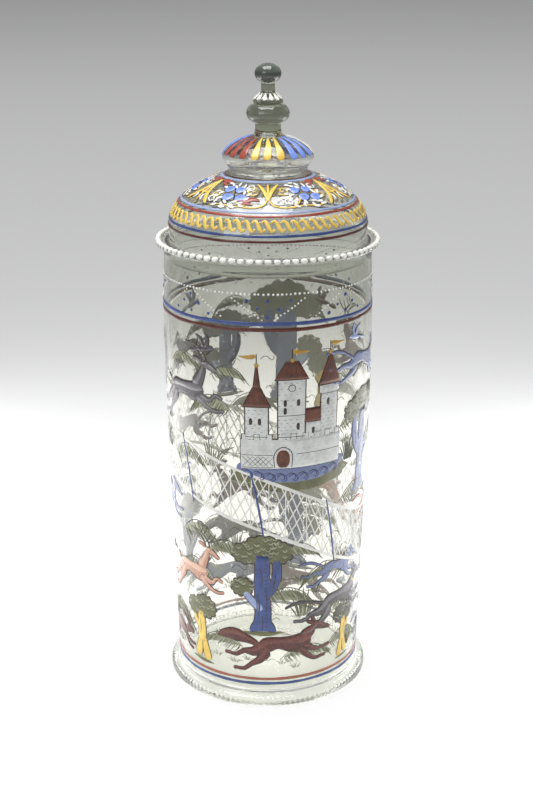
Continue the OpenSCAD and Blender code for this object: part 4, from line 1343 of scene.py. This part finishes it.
BUSHES = (
    (26, 66, 17, 20, "olive"), (4, 84, 15, 16, "sage"), (-52, 62, 14, 16, "sage"), (70, 30, 14, 14, "olive"),
    (-92, 178, 18, 20, "olive"), (62, 176, 14, 22, "moss"), (-40, 176, 16, 18, "sage"),
    (98, 96, 18, 20, "sage"), (-100, 132, 18, 20, "olive"), (150, 60, 18, 20, "olive"),
    (210, 96, 20, 22, "sage"), (248, 60, 18, 18, "olive"), (290, 100, 18, 20, "sage"),
    (180, 150, 18, 18, "olive"), (330, 30, 16, 16, "olive"))
hunting_net()
for s, t, wide, high in HILLOCKS:
    hillock(s, t, wide, high, 1 if s % 4 else -1)
for place in BUSHES:
    bush(*place)
tree(-4, 57, 72)
sapling(-55, 27, 52)
sapling(66, 26, 42, "moss", -1)
tree(80, 150, 74, face=-1)
tree(116, 56, 60)
sapling(176, 178, 44, face=-1)
tree(196, 50, 74)
tree(206, 184, 88)
tree(252, 190, 62, "moss", -1)
tree(300, 60, 62, "moss")
castle(17, 178, 0.98)
hound(-16, 12, 0.62, "maroon", brush=16, collar=None)
hound(36, 40, 0.58, "slate", lean=3)
hound(34, 78, 0.42, "steel", lean=-8)
hound(98, 14, 0.50, "steel")
stag(-86, 62, 0.52, "salmon", lean=2)
hare(-108, 16, 0.46, "brown")
stag(-84, 194, 0.54, "slate", lean=4)
hound(52, 222, 0.50, "steel", lean=-10)
hound(84, 112, 0.46, "salmon", lean=-8)
hound(-128, 112, 0.52, "steel")
stag(152, 90, 0.52, "salmon")
hound(166, 8, 0.56, "brown", collar="blue")
hound(222, 52, 0.50, "slate")
hound(232, 16, 0.56, "steel")
stag(222, 84, 0.50, "maroon")
stag(112, 196, 0.56, "maroon", lean=3)
hound(272, 206, 0.46, "slate", lean=4)
hound(276, 146, 0.50, "brown", lean=6)
bird(-44, 258, 0.5, "slate")
bird(66, 262, 0.45, "pale", -1)
bird(178, 260, 0.5, "brown")
bird(284, 262, 0.5, "steel", -1)
MARKS = 150
open_ground = stacked(chance.uniform(0, TAU * WALL_REF, MARKS), chance.uniform(25, 262, MARKS))
tufts(open_ground[:46], "moss", 6, 7.5)
tufts(open_ground[46:80], "sage", 7, 6.5)
flourishes(open_ground[80:])
LOW_TUFTS = 36
low_ground = stacked(np.arange(LOW_TUFTS) * TAU * WALL_REF / LOW_TUFTS + chance.normal(0, 2, LOW_TUFTS),
                     24.5 + chance.uniform(0, 9, LOW_TUFTS))
tufts(low_ground, "sage", 6, 5.0)

for pot in pots:
    pot.set_hard()


# Studio: floor, lamps, world and camera, in metres

FLOOR_R = 12.0
FLOOR_Z = -0.0002
EYE = (-0.0010, -0.9913, 0.5359)
LOOKS_DOWN = 18.52
LENS = 66.683
BOUNCES = 32
CLEAR_BOUNCES = 24


def disc(radius, rows, columns):
    """A flat disc: circles whose radius grows as a square, drawn to the middle."""
    a = np.arange(columns) * TAU / columns
    r = radius * np.linspace(0, 1, rows + 1)[1:, None] ** 2
    points = stacked(r * np.cos(a), r * np.sin(a), FLOOR_Z).reshape(-1, 3)
    i = np.arange(rows - 1)[:, None] * columns
    j = np.arange(columns)
    k = (j + 1) % columns
    quads = stacked(i + j, i + columns + j, i + columns + k, i + k).reshape(-1, 4)
    mid = stacked(rows * columns, j, k)
    return joined(points, [[0, 0, FLOOR_Z]]), quads.tolist() + mid.tolist()


def paper():
    """Pale paper with painted light: a pool of white about the vessel that turns greyer far off, shown to
    lenses partly as plain light.
    """
    f = Finish(bpy.data.materials.new("paper"))
    far = f.node("ShaderNodeVectorMath", {"operation": "LENGTH"}, {0: f.place()}, "Value")
    # Painted pools of light: the paper's colour is brightest about the vessel and falls off with the distance
    painted_light_wide = 0.32 / (1 + (far / 5.0) ** 3.0)
    painted_light_near = 0.29 / (1 + (far / 0.68) ** 6.0)
    glow = 0.33 + painted_light_wide + painted_light_near
    colour = f.node("ShaderNodeCombineColor", {}, {0: glow * 0.997, 1: glow * 0.998, 2: glow})
    dull = f.node("ShaderNodeBsdfDiffuse", {}, {"Color": colour})
    light = f.node("ShaderNodeEmission", {}, {"Color": colour, "Strength": 1.0})
    seen = f.node("ShaderNodeLightPath", output="Is Camera Ray")
    through = f.node("ShaderNodeLightPath", output="Is Transmission Ray")
    return f.end(f.node("ShaderNodeMixShader", {}, {0: (seen | through) * 0.74, 1: dull, 2: light}))


points, faces = disc(FLOOR_R, 40, 96)
mesh = bpy.data.meshes.new("paper")
mesh.from_pydata(points, [], faces)
mesh.materials.append(paper())
floor = linked("paper", mesh)

world = bpy.data.worlds.new("studio")
scene.world = world
w = Finish(world)
rise = w.node("ShaderNodeSeparateXYZ", {}, {0: w.node("ShaderNodeTexCoord", output="Generated")}, "Z")
walls = w.node("ShaderNodeBackground", {}, {"Color": (0.98, 0.99, 1.0, 1), "Strength": 0.29})
ceiling = w.node("ShaderNodeBackground", {}, {"Color": (0.99, 0.99, 1.0, 1), "Strength": 0.29})
w.end(w.node("ShaderNodeMixShader", {}, {0: w.ramp(rise, 0.0, 0.5), 1: walls, 2: ceiling}),
      "ShaderNodeOutputWorld")


def softbox(name, place, aim, wide, deep, power):
    """A soft lamp that looks from a place at a point."""
    lamp = bpy.data.lights.new(name, "AREA")
    lamp.shape = "RECTANGLE"
    lamp.size = wide
    lamp.size_y = deep
    lamp.energy = power
    lit = linked(name, lamp)
    lit.location = place
    away = np.array(place) - np.array(aim)
    flat = np.hypot(away[0], away[1])
    lit.rotation_euler = (np.arctan2(flat, away[2]), 0, np.arctan2(away[0], -away[1]) if flat > 1e-6 else 0)


softbox("top_box", (-0.13, -0.02, 1.45), (-0.13, -0.02, 0.3), 0.95, 0.75, 19)
softbox("front_fill", (-1.3, -1.7, 1.2), (0, 0, 0.2), 1.2, 1.2, 12.5)
softbox("left_wash", (-0.45, 0.22, 0.2), (-0.45, 0.22, 0.0), 0.3, 0.6, 3.4)
softbox("right_wash", (0.45, 0.22, 0.2), (0.45, 0.22, 0.0), 0.3, 0.6, 4)

camera = bpy.data.cameras.new("camera")
camera.lens = LENS
camera.sensor_width = 36
camera.clip_end = 50
eye = linked("camera", camera)
eye.location = EYE
eye.rotation_euler = (np.radians(90 - LOOKS_DOWN), 0, 0)
scene.camera = eye
scene.view_settings.view_transform = "Standard"
scene.cycles.max_bounces = BOUNCES
scene.cycles.transmission_bounces = BOUNCES
scene.cycles.glossy_bounces = BOUNCES
scene.cycles.transparent_max_bounces = CLEAR_BOUNCES
